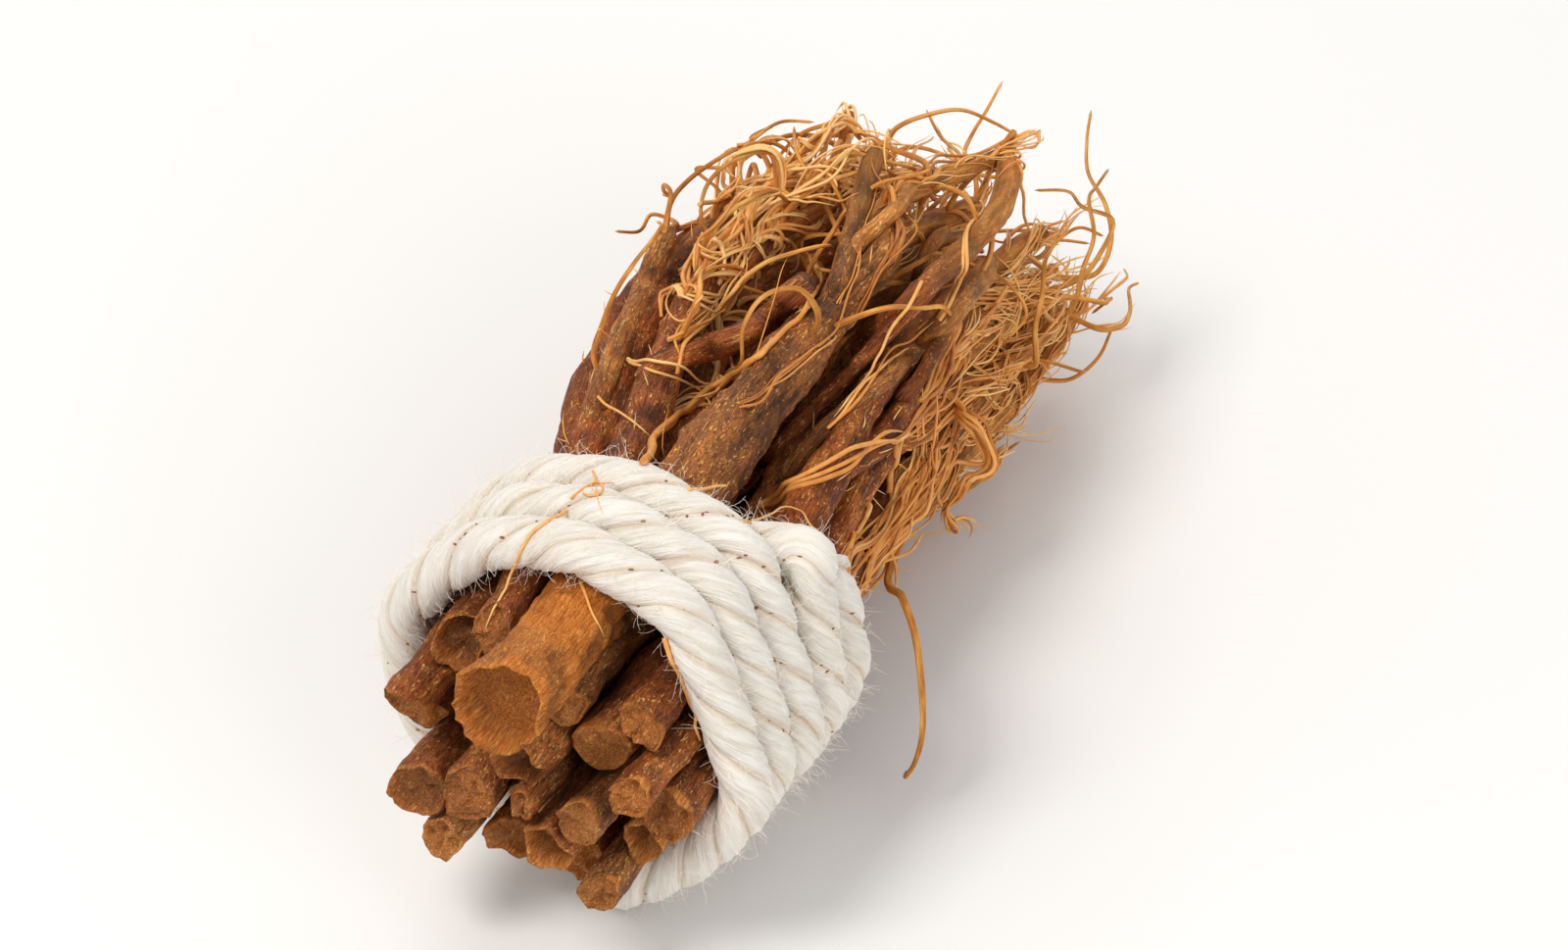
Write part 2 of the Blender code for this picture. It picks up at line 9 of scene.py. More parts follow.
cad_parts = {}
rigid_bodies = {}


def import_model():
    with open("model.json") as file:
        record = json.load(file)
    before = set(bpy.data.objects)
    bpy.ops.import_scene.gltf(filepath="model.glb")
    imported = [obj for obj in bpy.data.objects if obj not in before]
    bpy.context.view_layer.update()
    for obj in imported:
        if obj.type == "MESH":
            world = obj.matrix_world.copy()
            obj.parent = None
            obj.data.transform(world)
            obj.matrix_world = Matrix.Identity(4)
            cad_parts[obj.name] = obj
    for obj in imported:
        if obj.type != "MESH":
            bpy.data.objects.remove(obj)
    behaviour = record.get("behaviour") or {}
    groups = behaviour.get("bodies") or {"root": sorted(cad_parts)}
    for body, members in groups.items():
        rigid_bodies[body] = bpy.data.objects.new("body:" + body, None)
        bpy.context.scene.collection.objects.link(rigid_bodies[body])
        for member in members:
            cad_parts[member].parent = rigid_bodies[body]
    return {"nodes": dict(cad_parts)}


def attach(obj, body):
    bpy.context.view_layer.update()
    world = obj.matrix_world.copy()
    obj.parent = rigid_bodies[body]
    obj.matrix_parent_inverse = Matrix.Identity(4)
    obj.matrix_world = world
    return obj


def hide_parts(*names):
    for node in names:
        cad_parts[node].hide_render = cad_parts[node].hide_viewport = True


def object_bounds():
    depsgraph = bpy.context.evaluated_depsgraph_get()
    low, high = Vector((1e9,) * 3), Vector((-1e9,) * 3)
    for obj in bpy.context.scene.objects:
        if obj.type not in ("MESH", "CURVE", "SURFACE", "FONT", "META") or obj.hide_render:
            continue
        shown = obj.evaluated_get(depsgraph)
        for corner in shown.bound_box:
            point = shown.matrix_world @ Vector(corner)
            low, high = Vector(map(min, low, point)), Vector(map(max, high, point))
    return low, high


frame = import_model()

# A bundle of dried roots tied with cotton rope. Metres, +Z up, cut ends at low x, tips at high x.
mm = 0.001
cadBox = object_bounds()
lowCorner, highCorner = np.array(cadBox)
print("frame loaded:", len(frame["nodes"]), "nodes")

# Where the roots and the rope lie: the same rule and the same draws as the solids have
bundleSet = {
    "cutEnd": -40 * mm,  # from the middle of the tie
    "tipEnd": 132 * mm,
    "step": 8 * mm,
    "tieHalfWidth": 17 * mm,
    "origin": np.array([56.147, 6.123, -0.97]) * mm,  # the frame's, in the layout's own measures
    "surfaceGap": 0.07 * mm,
    "rootGap": 0.5 * mm,
    "rootSlimming": 0.92,
    "rootTaper": 0.42,
    "knotHeight": 0.07,
    "knotLength": 31 * mm,
    "sway": 2.6 * mm,
    "swayLengths": (95 * mm, 42 * mm),
    "settleRounds": 900,
    "outerRingRadius": 20.6 * mm,
    "outerRing": [  # degrees round the bundle, and half thickness in mm
        (18, 4.3), (43, 4.8), (67, 3.8), (95, 7.0), (148, 4.0), (169, 3.4), (190, 4.5),
        (212, 3.5), (231, 3.3), (249, 3.6), (290, 4.4), (312, 3.6), (333, 4.7), (355, 3.6),
    ],
    "innerRingRadius": 11.5 * mm,
    "innerRing": [
        (20, 4.9), (65, 4.0), (110, 3.4), (155, 5.0), (200, 3.9), (245, 4.5), (290, 3.4), (335, 4.6),
    ],
    "middleRingRadius": 3 * mm,
    "middleRing": [(80, 4.6), (260, 2.6)],
    "thickRoot": 3,
    "tieRadius": 26.6 * mm,
    "tieMiddleHeight": 34 * mm,
    "shape": [  # mm past the tie, how far it spreads, and its middle in mm sideways and up
        (-40, 0.98, -2, 34),
        (-18, 0.92, 0, 34),
        (18, 0.92, 0.5, 34),
        (44, 1.16, 8, 34),
        (66, 1.22, 14, 33),
        (88, 1.16, 17, 31),
        (110, 1.0, 15, 27),
        (132, 0.74, 11, 22),
    ],
    "thickRootLean": 0.3,
    "undersideSag": 9 * mm,
    "sagFrom": 30 * mm,
    "sagTo": 90 * mm,
    "forksPerRoot": (1, 2),
    "forkFrom": 30 * mm,
    "forkTo": 78 * mm,
    "forkThickness": 0.62,  # of its root's
    "forkTaper": 0.45,
    "forkAway": 5.5 * mm,
    "forkOpening": 30 * mm,
    "forkSway": 1.5 * mm,
    "pastFork": 0.86,  # how thick the root still is past a fork
}

rootletSet = {
    "radius": 0.62 * mm,
    "step": 5.6 * mm,
    "steps": 6,
    "tips": 58,  # how many near the tips, and how many from the sides
    "sides": 26,
    "tipShare": (0.62, 0.99),  # where along a root they grow
    "sideShare": (0.34, 0.72),
    "sideFrom": 30 * mm,  # past the tie
    "sideOut": 13 * mm,  # from the bundle's middle
    "foot": 2.4 * mm,  # the straight start, past the root's skin
    "curl": (0.35, 0.9),
    "thinning": (1.15, 0.7),
    "attempts": 14,
    "reach": 11 * mm,
    "tangle": (30, 105),
    "tangleShare": 0.6,
    "gap": 0.4 * mm,
    "hangingFrom": 6,
    "hanging": [  # a long rootlet's places in mm, past the tie, sideways and up
        (54, -16, 22),
        (45, -23, 25),
        (37, -29.5, 26),
        (31, -34, 22),
        (28.6, -35.5, 16),
        (28.4, -34.5, 10),
        (30, -32, 4.8),
        (34, -30, 2.1),
    ],
}

ropeSet = {
    "radius": 4 * mm,
    "gap": 0.35 * mm,
    "pitch": 8.5 * mm,
    "firstLane": 12.8 * mm,
    "crossFrom": 265,
    "crossTo": 360,
    "start": [  # mm past the tie's middle, degrees round it, and mm out from it
        (-7, 122, 23.2),
        (-2, 122, 23.2),
        (4, 122, 23.2),
        (8.4, 122.5, 23.2),
        (11.3, 125, 24),
        (12.6, 130, 26.2),
    ],
    "turnsFrom": 138,
    "turnsTo": 1080 + 246,
    "back": [
        (-12.4, 255, 30),
        (-11.6, 262.5, 26.8),
        (-8.8, 268, 24),
        (-3, 271, 23.2),
        (3, 272, 23.2),
        (9, 272, 23.2),
        (15, 271.5, 23.2),
        (19, 268.5, 24.6),
        (21.2, 262.5, 27.6),
    ],
    "sideLane": 21.6 * mm,
    "sideFrom": 247,
    "sideTo": 149,
    "pointStep": 8,
    "lanes": (-22, 28),  # mm past the tie's middle, within which the turns are wound
    "strandTwistLength": 27 * mm,
}


def smoothStep(low, high, x):
    t = np.clip((x - low) / (high - low), 0, 1)
    return t * t * (3 - 2 * t)


def unit(vector):
    return vector / np.linalg.norm(vector)


def unitRows(rows):
    return rows / np.linalg.norm(rows, axis=-1, keepdims=True)


def degreesRound(sideways, up):
    return math.degrees(math.atan2(up, sideways))


class Rod:  # one line of a root, with its half thickness and where it wants to lie at each station
    def __init__(self, root, parent, first, last, radius, home):
        self.root = root
        self.parent = parent
        self.first = first
        self.last = last
        self.radius = radius
        self.home = home


def stations():
    count = int(round((bundleSet["tipEnd"] - bundleSet["cutEnd"]) / bundleSet["step"])) + 1
    return bundleSet["cutEnd"] + bundleSet["step"] * np.arange(count)


def bundleShape(x):  # how far the bundle spreads, and its middle sideways and up, x past the tie
    shape = np.array(bundleSet["shape"]) * (mm, 1, mm, mm)
    return [np.interp(x, shape[:, 0], shape[:, i]) for i in (1, 2, 3)]


def wander(rng, xs, amount):  # a slow sway to the sides, small where the rope holds the roots
    sway = np.zeros((len(xs), 2))
    for axis in range(2):
        for length in bundleSet["swayLengths"]:
            phase = rng.uniform(0, 2 * math.pi)
            sway[:, axis] += rng.uniform(0.4, 1.0) * np.sin(2 * math.pi * xs / length + phase)
    loose = smoothStep(bundleSet["tieHalfWidth"], 60 * mm, xs) + 0.35 * smoothStep(-18 * mm, -34 * mm, xs)
    return sway * amount * loose[:, None]


def rootRods(rng):
    xs = stations()
    spread, sideways, height = bundleShape(xs)
    rods = []
    for ring in ("outerRing", "innerRing", "middleRing"):
        ringRadius = bundleSet[ring + "Radius"]
        for degrees, thickness in bundleSet[ring]:
            root = len(rods)
            thick = root == bundleSet["thickRoot"]
            first = 0 if thick else rng.integers(1, 3)
            last = len(xs) - 1 - (6 if thick else rng.integers(0, 5))
            start, end = xs[first], xs[last]
            along = np.clip((xs - start) / (end - start), 0, 1)
            taper = 1 - bundleSet["rootTaper"] * smoothStep(0.3, 1.0, along)
            waves = 2 * math.pi * xs / bundleSet["knotLength"] + rng.uniform(0, 2 * math.pi)
            knots = 1 + bundleSet["knotHeight"] * np.sin(waves)
            radius = bundleSet["rootSlimming"] * (thickness * mm) * taper * knots
            radius[first] *= 1.12 if thick else 1.0  # the thick root flares at its cut end
            radius[last] *= 0.55
            radius[:first] = 0
            radius[last + 1 :] = 0
            angle = math.radians(degrees)
            home = np.empty((len(xs), 2))
            lean = bundleSet["thickRootLean"] if thick else 1
            home[:, 0] = ringRadius * spread * math.cos(angle) + lean * sideways
            home[:, 1] = ringRadius * spread * math.sin(angle) + height
            sag = bundleSet["undersideSag"] * max(0, -math.sin(angle))
            sag = sag * ringRadius / bundleSet["outerRingRadius"]
            home[:, 1] -= sag * smoothStep(bundleSet["sagFrom"], bundleSet["sagTo"], xs)
            home += wander(rng, xs, bundleSet["sway"])
            rods.append(Rod(root, None, first, last, radius, home))
    return rods


def addForks(rng, rods):
    xs = stations()
    fewest, most = bundleSet["forksPerRoot"]
    for parent in list(rods):
        side = rng.uniform(0, 2 * math.pi)
        for _ in range(rng.integers(fewest, most + 1)):
            start = rng.uniform(bundleSet["forkFrom"], bundleSet["forkTo"])
            first = int(np.searchsorted(xs, start))
            if first > parent.last - 2:
                continue
            last = len(xs) - 1 - rng.integers(0, 4)
            along = np.clip((xs - xs[first]) / (xs[last] - xs[first]), 0, 1)
            taper = 1 - bundleSet["forkTaper"] * along
            radius = bundleSet["forkThickness"] * parent.radius[first] * taper
            radius[:first] = 0
            radius[last + 1 :] = 0
            side += rng.uniform(1.8, 3.2)
            away = np.array([math.cos(side), math.sin(side)])
            opening = smoothStep(xs[first], xs[first] + bundleSet["forkOpening"], xs)
            home = parent.home + away * (bundleSet["forkAway"] * opening)[:, None]
            home += wander(rng, xs, bundleSet["forkSway"])
            parent.radius[first + 1 :] *= bundleSet["pastFork"]
            rods.append(Rod(parent.root, parent, first, last, radius, home))


def atPlace(x, degrees, out):
    angle = math.radians(degrees)
    return x, out * math.cos(angle), out * math.sin(angle) + bundleSet["tieMiddleHeight"]


def chosenPlaces(key):  # the rope's places that are listed one by one
    return [atPlace(x * mm, degrees, out * mm) for x, degrees, out in ropeSet[key]]


def tailRods():  # the rope's two tucked ends, which push the roots aside
    xs = stations()
    rods = []
    for tail, places in enumerate((chosenPlaces("start"), chosenPlaces("back")[2:])):
        points = np.array(places)
        used = np.flatnonzero((xs > -17 * mm) & (xs < (17 if tail == 0 else 25) * mm))
        centres = np.stack([np.interp(xs, points[:, 0], points[:, i]) for i in (1, 2)], axis=1)
        radius = np.zeros(len(xs))
        radius[used] = ropeSet["radius"]
        rods.append(Rod(-1 - tail, None, used[0], used[-1], radius, centres))
    return rods


def pushApart(place, radius, touching, share):  # how rods that come too near each other give way
    apart = place[:, None] - place[None, :]
    distance = np.linalg.norm(apart, axis=3) + 1e-9
    short = np.clip(radius[:, None] + radius[None, :] + bundleSet["rootGap"] - distance, 0, None) * touching
    return ((short / distance)[..., None] * apart * share).sum(axis=1)


def settle(rods):  # the rods drawn to their places and into the tie, until none runs through another
    xs = stations()
    count = len(rods)
    radius = np.array([rod.radius for rod in rods])
    here = radius > 0
    home = np.array([rod.home for rod in rods])
    free = np.array([rod.root >= 0 for rod in rods])[:, None, None]
    number = {id(rod): i for i, rod in enumerate(rods)}
    forks = [(i, number[id(rod.parent)], rod.first) for i, rod in enumerate(rods) if rod.parent]
    joined = np.zeros((count, count, len(xs)), bool)
    for fork, parent, first in forks:
        joined[fork, parent, first : first + 2] = True
        joined[parent, fork, first : first + 2] = True
    touching = here[:, None] & here[None, :] & ~joined & ~np.eye(count, dtype=bool)[:, :, None]
    halfwayRadius = 0.5 * (radius[:, :-1] + radius[:, 1:])
    halfwayTouching = touching[:, :, :-1] & touching[:, :, 1:]
    share = np.where(free[None, :, :, 0], 1.0, 2.0)[..., None]
    tied = np.abs(xs) < bundleSet["tieHalfWidth"] + 2 * mm
    middle = np.array([0, bundleSet["tieMiddleHeight"]])
    floor = np.where(here, radius + bundleSet["origin"][2] + bundleSet["surfaceGap"], -1)
    place = home.copy()
    for turn in range(bundleSet["settleRounds"]):
        done = turn / bundleSet["settleRounds"]
        loose = 1 - smoothStep(0.45, 0.75, done)
        move = 0.04 * loose * (home - place)
        bend = 0.5 * (place[:, :-2] + place[:, 2:]) - place[:, 1:-1]
        inner = here[:, 1:-1] & here[:, :-2] & here[:, 2:]
        move[:, 1:-1] += 0.25 * loose * bend * inner[:, :, None]
        out = place - middle
        reach = np.linalg.norm(out, axis=2) + 1e-9
        excess = np.clip(reach + radius - bundleSet["tieRadius"], 0, None) * tied * here
        move -= (0.5 * loose * excess / reach)[:, :, None] * out
        if turn % 2:
            halfway = 0.5 * (place[:, :-1] + place[:, 1:])
            push = np.zeros_like(place)
            shift = 0.3 * pushApart(halfway, halfwayRadius, halfwayTouching, share)
            push[:, :-1] += shift
            push[:, 1:] += shift
        else:
            push = 0.5 * pushApart(place, radius, touching, share)
        shared = push.copy()
        shared[:, 1:-1] = 0.5 * push[:, 1:-1] + 0.25 * (push[:, :-2] + push[:, 2:])
        move += loose * shared + (1 - loose) * push
        place = place + move * free
        place[:, :, 1] = np.maximum(place[:, :, 1], floor)
        for fork, parent, first in forks:
            place[fork, first] = place[parent, first]
    return place


def around(place, radius, xs, x, clearance):  # how far out a taut rope lies at each degree round the roots
    step = (x - xs[0]) / bundleSet["step"]
    low = int(np.clip(math.floor(step), 0, len(xs) - 2))
    share = step - low
    here = (radius[:, low] > 0) & (radius[:, low + 1] > 0)
    centres = (1 - share) * place[here, low] + share * place[here, low + 1]
    centres = centres - np.array([0, bundleSet["tieMiddleHeight"]])
    reach = (1 - share) * radius[here, low] + share * radius[here, low + 1] + clearance
    degrees = np.radians(np.arange(360))
    ways = np.stack([np.cos(degrees), np.sin(degrees)])
    support = (centres @ ways + reach[:, None]).max(axis=0)
    turned = np.cos(degrees[:, None] - degrees[None, :])
    return np.where(turned > 0.3, support[None, :] / np.maximum(turned, 0.3), np.inf).min(axis=1)


def ropeRoute(rods, place):
    xs = stations()
    radius = np.array([rod.radius for rod in rods])
    lanes = np.arange(*ropeSet["lanes"]) * mm
    rootsOnly = radius.copy()
    rootsOnly[-2:] = 0
    clearance = ropeSet["gap"] + ropeSet["radius"]
    overRoots = np.array([around(place, rootsOnly, xs, x, clearance) for x in lanes])
    overTails = np.array([around(place, radius, xs, x, clearance) for x in lanes])
    over = np.maximum(overRoots, overTails)
    wide = np.array([over[max(0, i - 3) : i + 4].max(axis=0) for i in range(len(lanes))])
    weights = np.hanning(19)[1:-1]
    weights /= weights.sum()
    level = np.array([np.convolve(np.r_[row[-8:], row, row[:8]], weights, "valid") for row in wide])
    level = np.maximum(level, wide)

    def onTop(x, degrees):
        row = (x - lanes[0]) / mm
        low = int(row)
        column = int(round(degrees)) % 360
        out = (1 - (row - low)) * level[low, column] + (row - low) * level[low + 1, column]
        return atPlace(x, degrees, out)

    points = chosenPlaces("start")
    for degrees in np.arange(ropeSet["turnsFrom"], ropeSet["turnsTo"], ropeSet["pointStep"]):
        turn = degrees // 360
        lane = turn + smoothStep(ropeSet["crossFrom"], ropeSet["crossTo"], degrees % 360)
        points.append(onTop(ropeSet["firstLane"] - ropeSet["pitch"] * lane, degrees))
    points += chosenPlaces("back")
    for degrees in np.arange(ropeSet["sideFrom"], ropeSet["sideTo"], -ropeSet["pointStep"]):
        points.append(onTop(ropeSet["sideLane"], degrees))
    return np.array(points)


def spheresAlong(points, radii, root, step):
    rows = []
    for a, b, ra, rb in zip(points[:-1], points[1:], radii[:-1], radii[1:]):
        count = max(1, int(math.ceil(np.linalg.norm(b - a) / step)))
        for share in np.arange(count) / count:
            rows.append((*((1 - share) * a + share * b), (1 - share) * ra + share * rb, root))
    rows.append((*points[-1], radii[-1], root))
    return rows


def rodLine(rod, place):
    xs = stations()
    used = np.arange(rod.first, rod.last + 1)
    points = np.column_stack([xs[used], place[used]])
    return points, rod.radius[used]


class Clear:  # the spheres that a new rootlet keeps clear of
    def __init__(self, rows):
        self.rows = np.array(rows)

    def add(self, rows):
        self.rows = np.vstack([self.rows, rows])

    def free(self, a, b, root, margin):
        near = self.rows[np.abs(self.rows[:, 0] - a[0]) < 22 * mm]
        near = near[near[:, 4] != root]
        for share in (0.2, 0.4, 0.6, 0.8, 1.0):
            p = (1 - share) * a + share * b
            if p[2] < 1.2 * rootletSet["radius"] + bundleSet["origin"][2] + bundleSet["surfaceGap"]:
                return False
            gaps = np.linalg.norm(near[:, :3] - p, axis=1) - near[:, 3] - margin
            if len(gaps) and gaps.min() < 0:
                return False
        return True


def withinReach(place):
    spread, sideways, height = bundleShape(place[0])
    reach = spread * bundleSet["outerRingRadius"] + rootletSet["reach"]
    return math.hypot(place[1] - sideways, place[2] - height) < reach


def growRootlet(rng, clear, root, start, heading, drift, curl):
    points = [start]
    turnAxis = rng.normal(size=3)
    for _ in range(rootletSet["steps"]):
        turnAxis = unit(turnAxis + 0.5 * rng.normal(size=3))
        found = None
        for attempt in range(rootletSet["attempts"]):
            way = heading + curl * np.cross(turnAxis, heading) + drift
            way = way + (0.18 + 0.09 * attempt) * rng.normal(size=3)
            end = points[-1] + unit(way) * rootletSet["step"]
            margin = rootletSet["radius"] + rootletSet["gap"]
            if withinReach(end) and clear.free(points[-1], end, root, margin):
                found = end
                break
        if found is None:
            break
        heading = (found - points[-1]) / rootletSet["step"]
        points.append(found)
    return np.array(points) if len(points) > 3 else None


def growRootlets(rng, rods, place, rope):
    lines = [rodLine(rod, place[i]) for i, rod in enumerate(rods) if rod.root >= 0]
    rows = []
    for rod, (points, radii) in zip(rods, lines):
        rows += spheresAlong(points, radii, rod.root, 1.5 * mm)
    rows += spheresAlong(rope, np.full(len(rope), ropeSet["radius"]), -1, 1.5 * mm)
    clear = Clear(rows)
    start = lines[rootletSet["hangingFrom"]][0][-7]
    line = np.vstack([start, np.array(rootletSet["hanging"]) * mm])
    radius = rootletSet["radius"] * np.linspace(1.5, 1.0, len(line))
    clear.add(spheresAlong(line, radius, rootletSet["hangingFrom"], 1.2 * mm))
    grown = [(rootletSet["hangingFrom"], line, radius)]
    wanted = [("tip", rootletSet["tips"]), ("side", rootletSet["sides"])]
    for kind, count in wanted:
        made = tries = 0
        while made < count and tries < 30 * count:
            tries += 1
            i = int(rng.integers(len(lines)))
            points, radii = lines[i]
            share = rng.uniform(*rootletSet[kind + "Share"])
            at = share * (len(points) - 1)
            low = int(at)
            start = points[low] + (at - low) * (points[low + 1] - points[low])
            thick = radii[low]
            if kind == "side" and start[0] < rootletSet["sideFrom"]:
                continue
            _, sideways, height = bundleShape(start[0])
            out = np.array([0, start[1] - sideways, start[2] - height])
            if kind == "side" and np.linalg.norm(out) < rootletSet["sideOut"]:
                continue
            tangled = rootletSet["tangle"][0] < degreesRound(*out[1:]) < rootletSet["tangle"][1]
            if kind == "side" and made < rootletSet["tangleShare"] * count and not tangled:
                continue
            out = out / (np.linalg.norm(out) + 1e-6) + 0.5 * rng.normal(size=3)
            out[0] = abs(out[0]) if kind == "tip" else 0.6
            heading = unit(out)
            end = start + heading * (thick + rootletSet["foot"])
            margin = rootletSet["radius"] + rootletSet["gap"]
            if not clear.free(start + heading * thick, end, rods[i].root, margin):
                continue
            inward = np.array([0, sideways - start[1], height - start[2]]) / (30 * mm)
            drift = 0.3 * np.array([1.0, 0, 0]) + 0.22 * inward
            curl = rng.uniform(*rootletSet["curl"])
            line = growRootlet(rng, clear, rods[i].root, end, heading, drift, curl)
            if line is None:
                continue
            line = np.vstack([start, line])
            radius = rootletSet["radius"] * np.linspace(*rootletSet["thinning"], len(line))
            clear.add(spheresAlong(line, radius, rods[i].root, 1.2 * mm))
            grown.append((rods[i].root, line, radius))
            made += 1
    return grown


def layout():  # each root's lines with their half thicknesses, and the rope's line
    rng = np.random.default_rng(11)
    rods = rootRods(rng)
    addForks(rng, rods)
    rods += tailRods()
    place = settle(rods)
    rope = ropeRoute(rods, place)
    rootlets = growRootlets(rng, rods, place, rope)
    rootCount = sum(len(bundleSet[ring]) for ring in ("outerRing", "innerRing", "middleRing"))
    roots = [[] for _ in range(rootCount)]
    for i, rod in enumerate(rods):
        if rod.root >= 0:
            roots[rod.root].append(("fork" if rod.parent else "main", *rodLine(rod, place[i])))
    for root, line, radius in rootlets:
        roots[root].append(("rootlet", line, radius))
    origin = bundleSet["origin"]
    return [[(k, line - origin, r) for k, line, r in root] for root in roots], rope - origin


roots, ropeLine = layout()
print("layout settled:", len(roots), "roots")


# Shapes shared by roots and rope

def smoothPath(line, radii, step):  # a smooth curve through the points, sampled about every step
    ends = np.vstack([2 * line[0] - line[1], line, 2 * line[-1] - line[-2]])
    wide = np.r_[radii[0], radii, radii[-1]]
    places, sizes = [], []
    for i in range(len(line) - 1):
        count = max(1, int(math.ceil(np.linalg.norm(line[i + 1] - line[i]) / step)))
        t = (np.arange(count) / count)[:, None]
        blend = (
            -0.5 * t + t**2 - 0.5 * t**3,
            1 - 2.5 * t**2 + 1.5 * t**3,
            0.5 * t + 2 * t**2 - 1.5 * t**3,
            -0.5 * t**2 + 0.5 * t**3,
        )
        places.append(sum(share * ends[i + k] for k, share in enumerate(blend)))
        sizes.append(sum(share[:, 0] * wide[i + k] for k, share in enumerate(blend)))
    return np.vstack(places + [line[-1:]]), np.concatenate(sizes + [radii[-1:]])


def carriedFrames(path):  # the way ahead and two side directions at each point, with no twist
    way = unitRows(np.gradient(path, axis=0))
    side = np.array([0.0, 1.0, 0.0]) if abs(way[0, 1]) < 0.9 else np.array([0.0, 0.0, 1.0])
    sides = []
    for direction in way:
        side = unit(side - direction * side.dot(direction))
        sides.append(side)
    sides = np.array(sides)
    return way, sides, np.cross(way, sides)


def arcLength(path):
    return np.r_[0, np.cumsum(np.linalg.norm(np.diff(path, axis=0), axis=1))]


def patches(rng, run, turn, length, around):  # smooth random values, joined where the turn closes
    grid = rng.uniform(-1, 1, (int(run.max() / length) + 3, around))
    u, v = run / length, turn / (2 * math.pi) * around
    i, j = np.floor(u).astype(int), np.floor(v).astype(int)
    fu, fv = u - i, v - j
    fu, fv = fu * fu * (3 - 2 * fu), fv * fv * (3 - 2 * fv)
    j, k = j % around, (j + 1) % around
    low = grid[i, j] * (1 - fv) + grid[i, k] * fv
    high = grid[i + 1, j] * (1 - fv) + grid[i + 1, k] * fv
    return low * (1 - fu) + high * fu


def linkPiece(name, mesh):
    piece = bpy.data.objects.new(name, mesh)
    bpy.context.scene.collection.objects.link(piece)
    return piece


def addValues(mesh, values):  # one attribute for each value that a material or a tree reads
    for key, parts in values.items():
        grid = np.concatenate(parts).astype(np.float32)
        kind, field = ("FLOAT_VECTOR", "vector") if key == "straight" else ("FLOAT", "value")
        mesh.attributes.new(key, kind, "POINT").data.foreach_set(field, grid.ravel())


class Shell:  # gathers closed tubes into one mesh, with the values that its material reads
    def __init__(self):
        self.places, self.quads, self.tris, self.count = [], [], [], 0
        self.values = {"straight": [], "tone": [], "relief": [], "bare": [], "young": []}

    def addTube(self, rings, values, startPole, endPole):
        n, sides = rings.shape[:2]
        base = self.count
        self.places += [rings.reshape(-1, 3), np.array([startPole, endPole])]
        i, j = np.meshgrid(np.arange(n - 1), np.arange(sides), indexing="ij")
        a, b = base + i * sides + j, base + i * sides + (j + 1) % sides
        self.quads.append(np.stack([a, b, b + sides, a + sides], axis=-1).reshape(-1, 4))
        j = np.arange(sides)
        k = (j + 1) % sides
        start, end, last = base + n * sides, base + n * sides + 1, base + (n - 1) * sides
        self.tris.append(np.stack([base + k, base + j, np.full(sides, start)], axis=1))
        self.tris.append(np.stack([last + j, last + k, np.full(sides, end)], axis=1))
        for name, parts in self.values.items():
            grid = np.broadcast_to(values[name], (n, sides) + np.shape(values[name])[2:])
            poles = np.stack([grid[0].mean(axis=0), grid[-1].mean(axis=0)])
            width = 3 if name == "straight" else 1
            parts += [grid.reshape(n * sides, width), poles.reshape(2, width)]
        self.count += n * sides + 2

    def build(self, name, material):
        quads, tris = np.vstack(self.quads), np.vstack(self.tris)
        mesh = bpy.data.meshes.new(name)
        mesh.vertices.add(self.count)
        mesh.vertices.foreach_set("co", np.vstack(self.places).astype(np.float32).ravel())
        mesh.loops.add(quads.size + tris.size)
        mesh.loops.foreach_set("vertex_index", np.r_[quads.ravel(), tris.ravel()].astype(np.int32))
        mesh.polygons.add(len(quads) + len(tris))
        starts = np.r_[np.arange(len(quads)) * 4, quads.size + np.arange(len(tris)) * 3]
        mesh.polygons.foreach_set("loop_start", starts.astype(np.int32))
        mesh.update(calc_edges=True)
        mesh.shade_smooth()
        addValues(mesh, self.values)
        mesh.materials.append(material)
        return linkPiece(name, mesh)


# Materials

def linear(code):  # an sRGB hex colour as linear RGBA
    parts = [int(code[i : i + 2], 16) / 255 for i in (0, 2, 4)]
    return (*[p / 12.92 if p <= 0.04045 else ((p + 0.055) / 1.055) ** 2.4 for p in parts], 1)


def addNode(tree, kind, settings=None, links=None):  # a node with its settings and its inputs
    made = tree.nodes.new(kind)
    for key, value in (settings or {}).items():
        if key == "stops":
            setStops(made.color_ramp.elements, value)
        else:
            setattr(made, key, value)
    for key, value in (links or {}).items():
        if isinstance(value, bpy.types.NodeSocket):
            tree.links.new(value, made.inputs[key])
        else:
            made.inputs[key].default_value = value
    return made


def setStops(elements, stops):  # the places and colours of a ramp
    while len(elements) > 1:
        elements.remove(elements[-1])
    elements[0].position, elements[0].color = stops[0]
    for position, colour in stops[1:]:
        elements.new(position).color = colour


def newMaterial(name):
    material = bpy.data.materials.new(name)
    material.use_nodes = True
    tree = material.node_tree
    return material, tree, tree.nodes["Principled BSDF"]


def grey(value):
    return (value, value, value, 1)


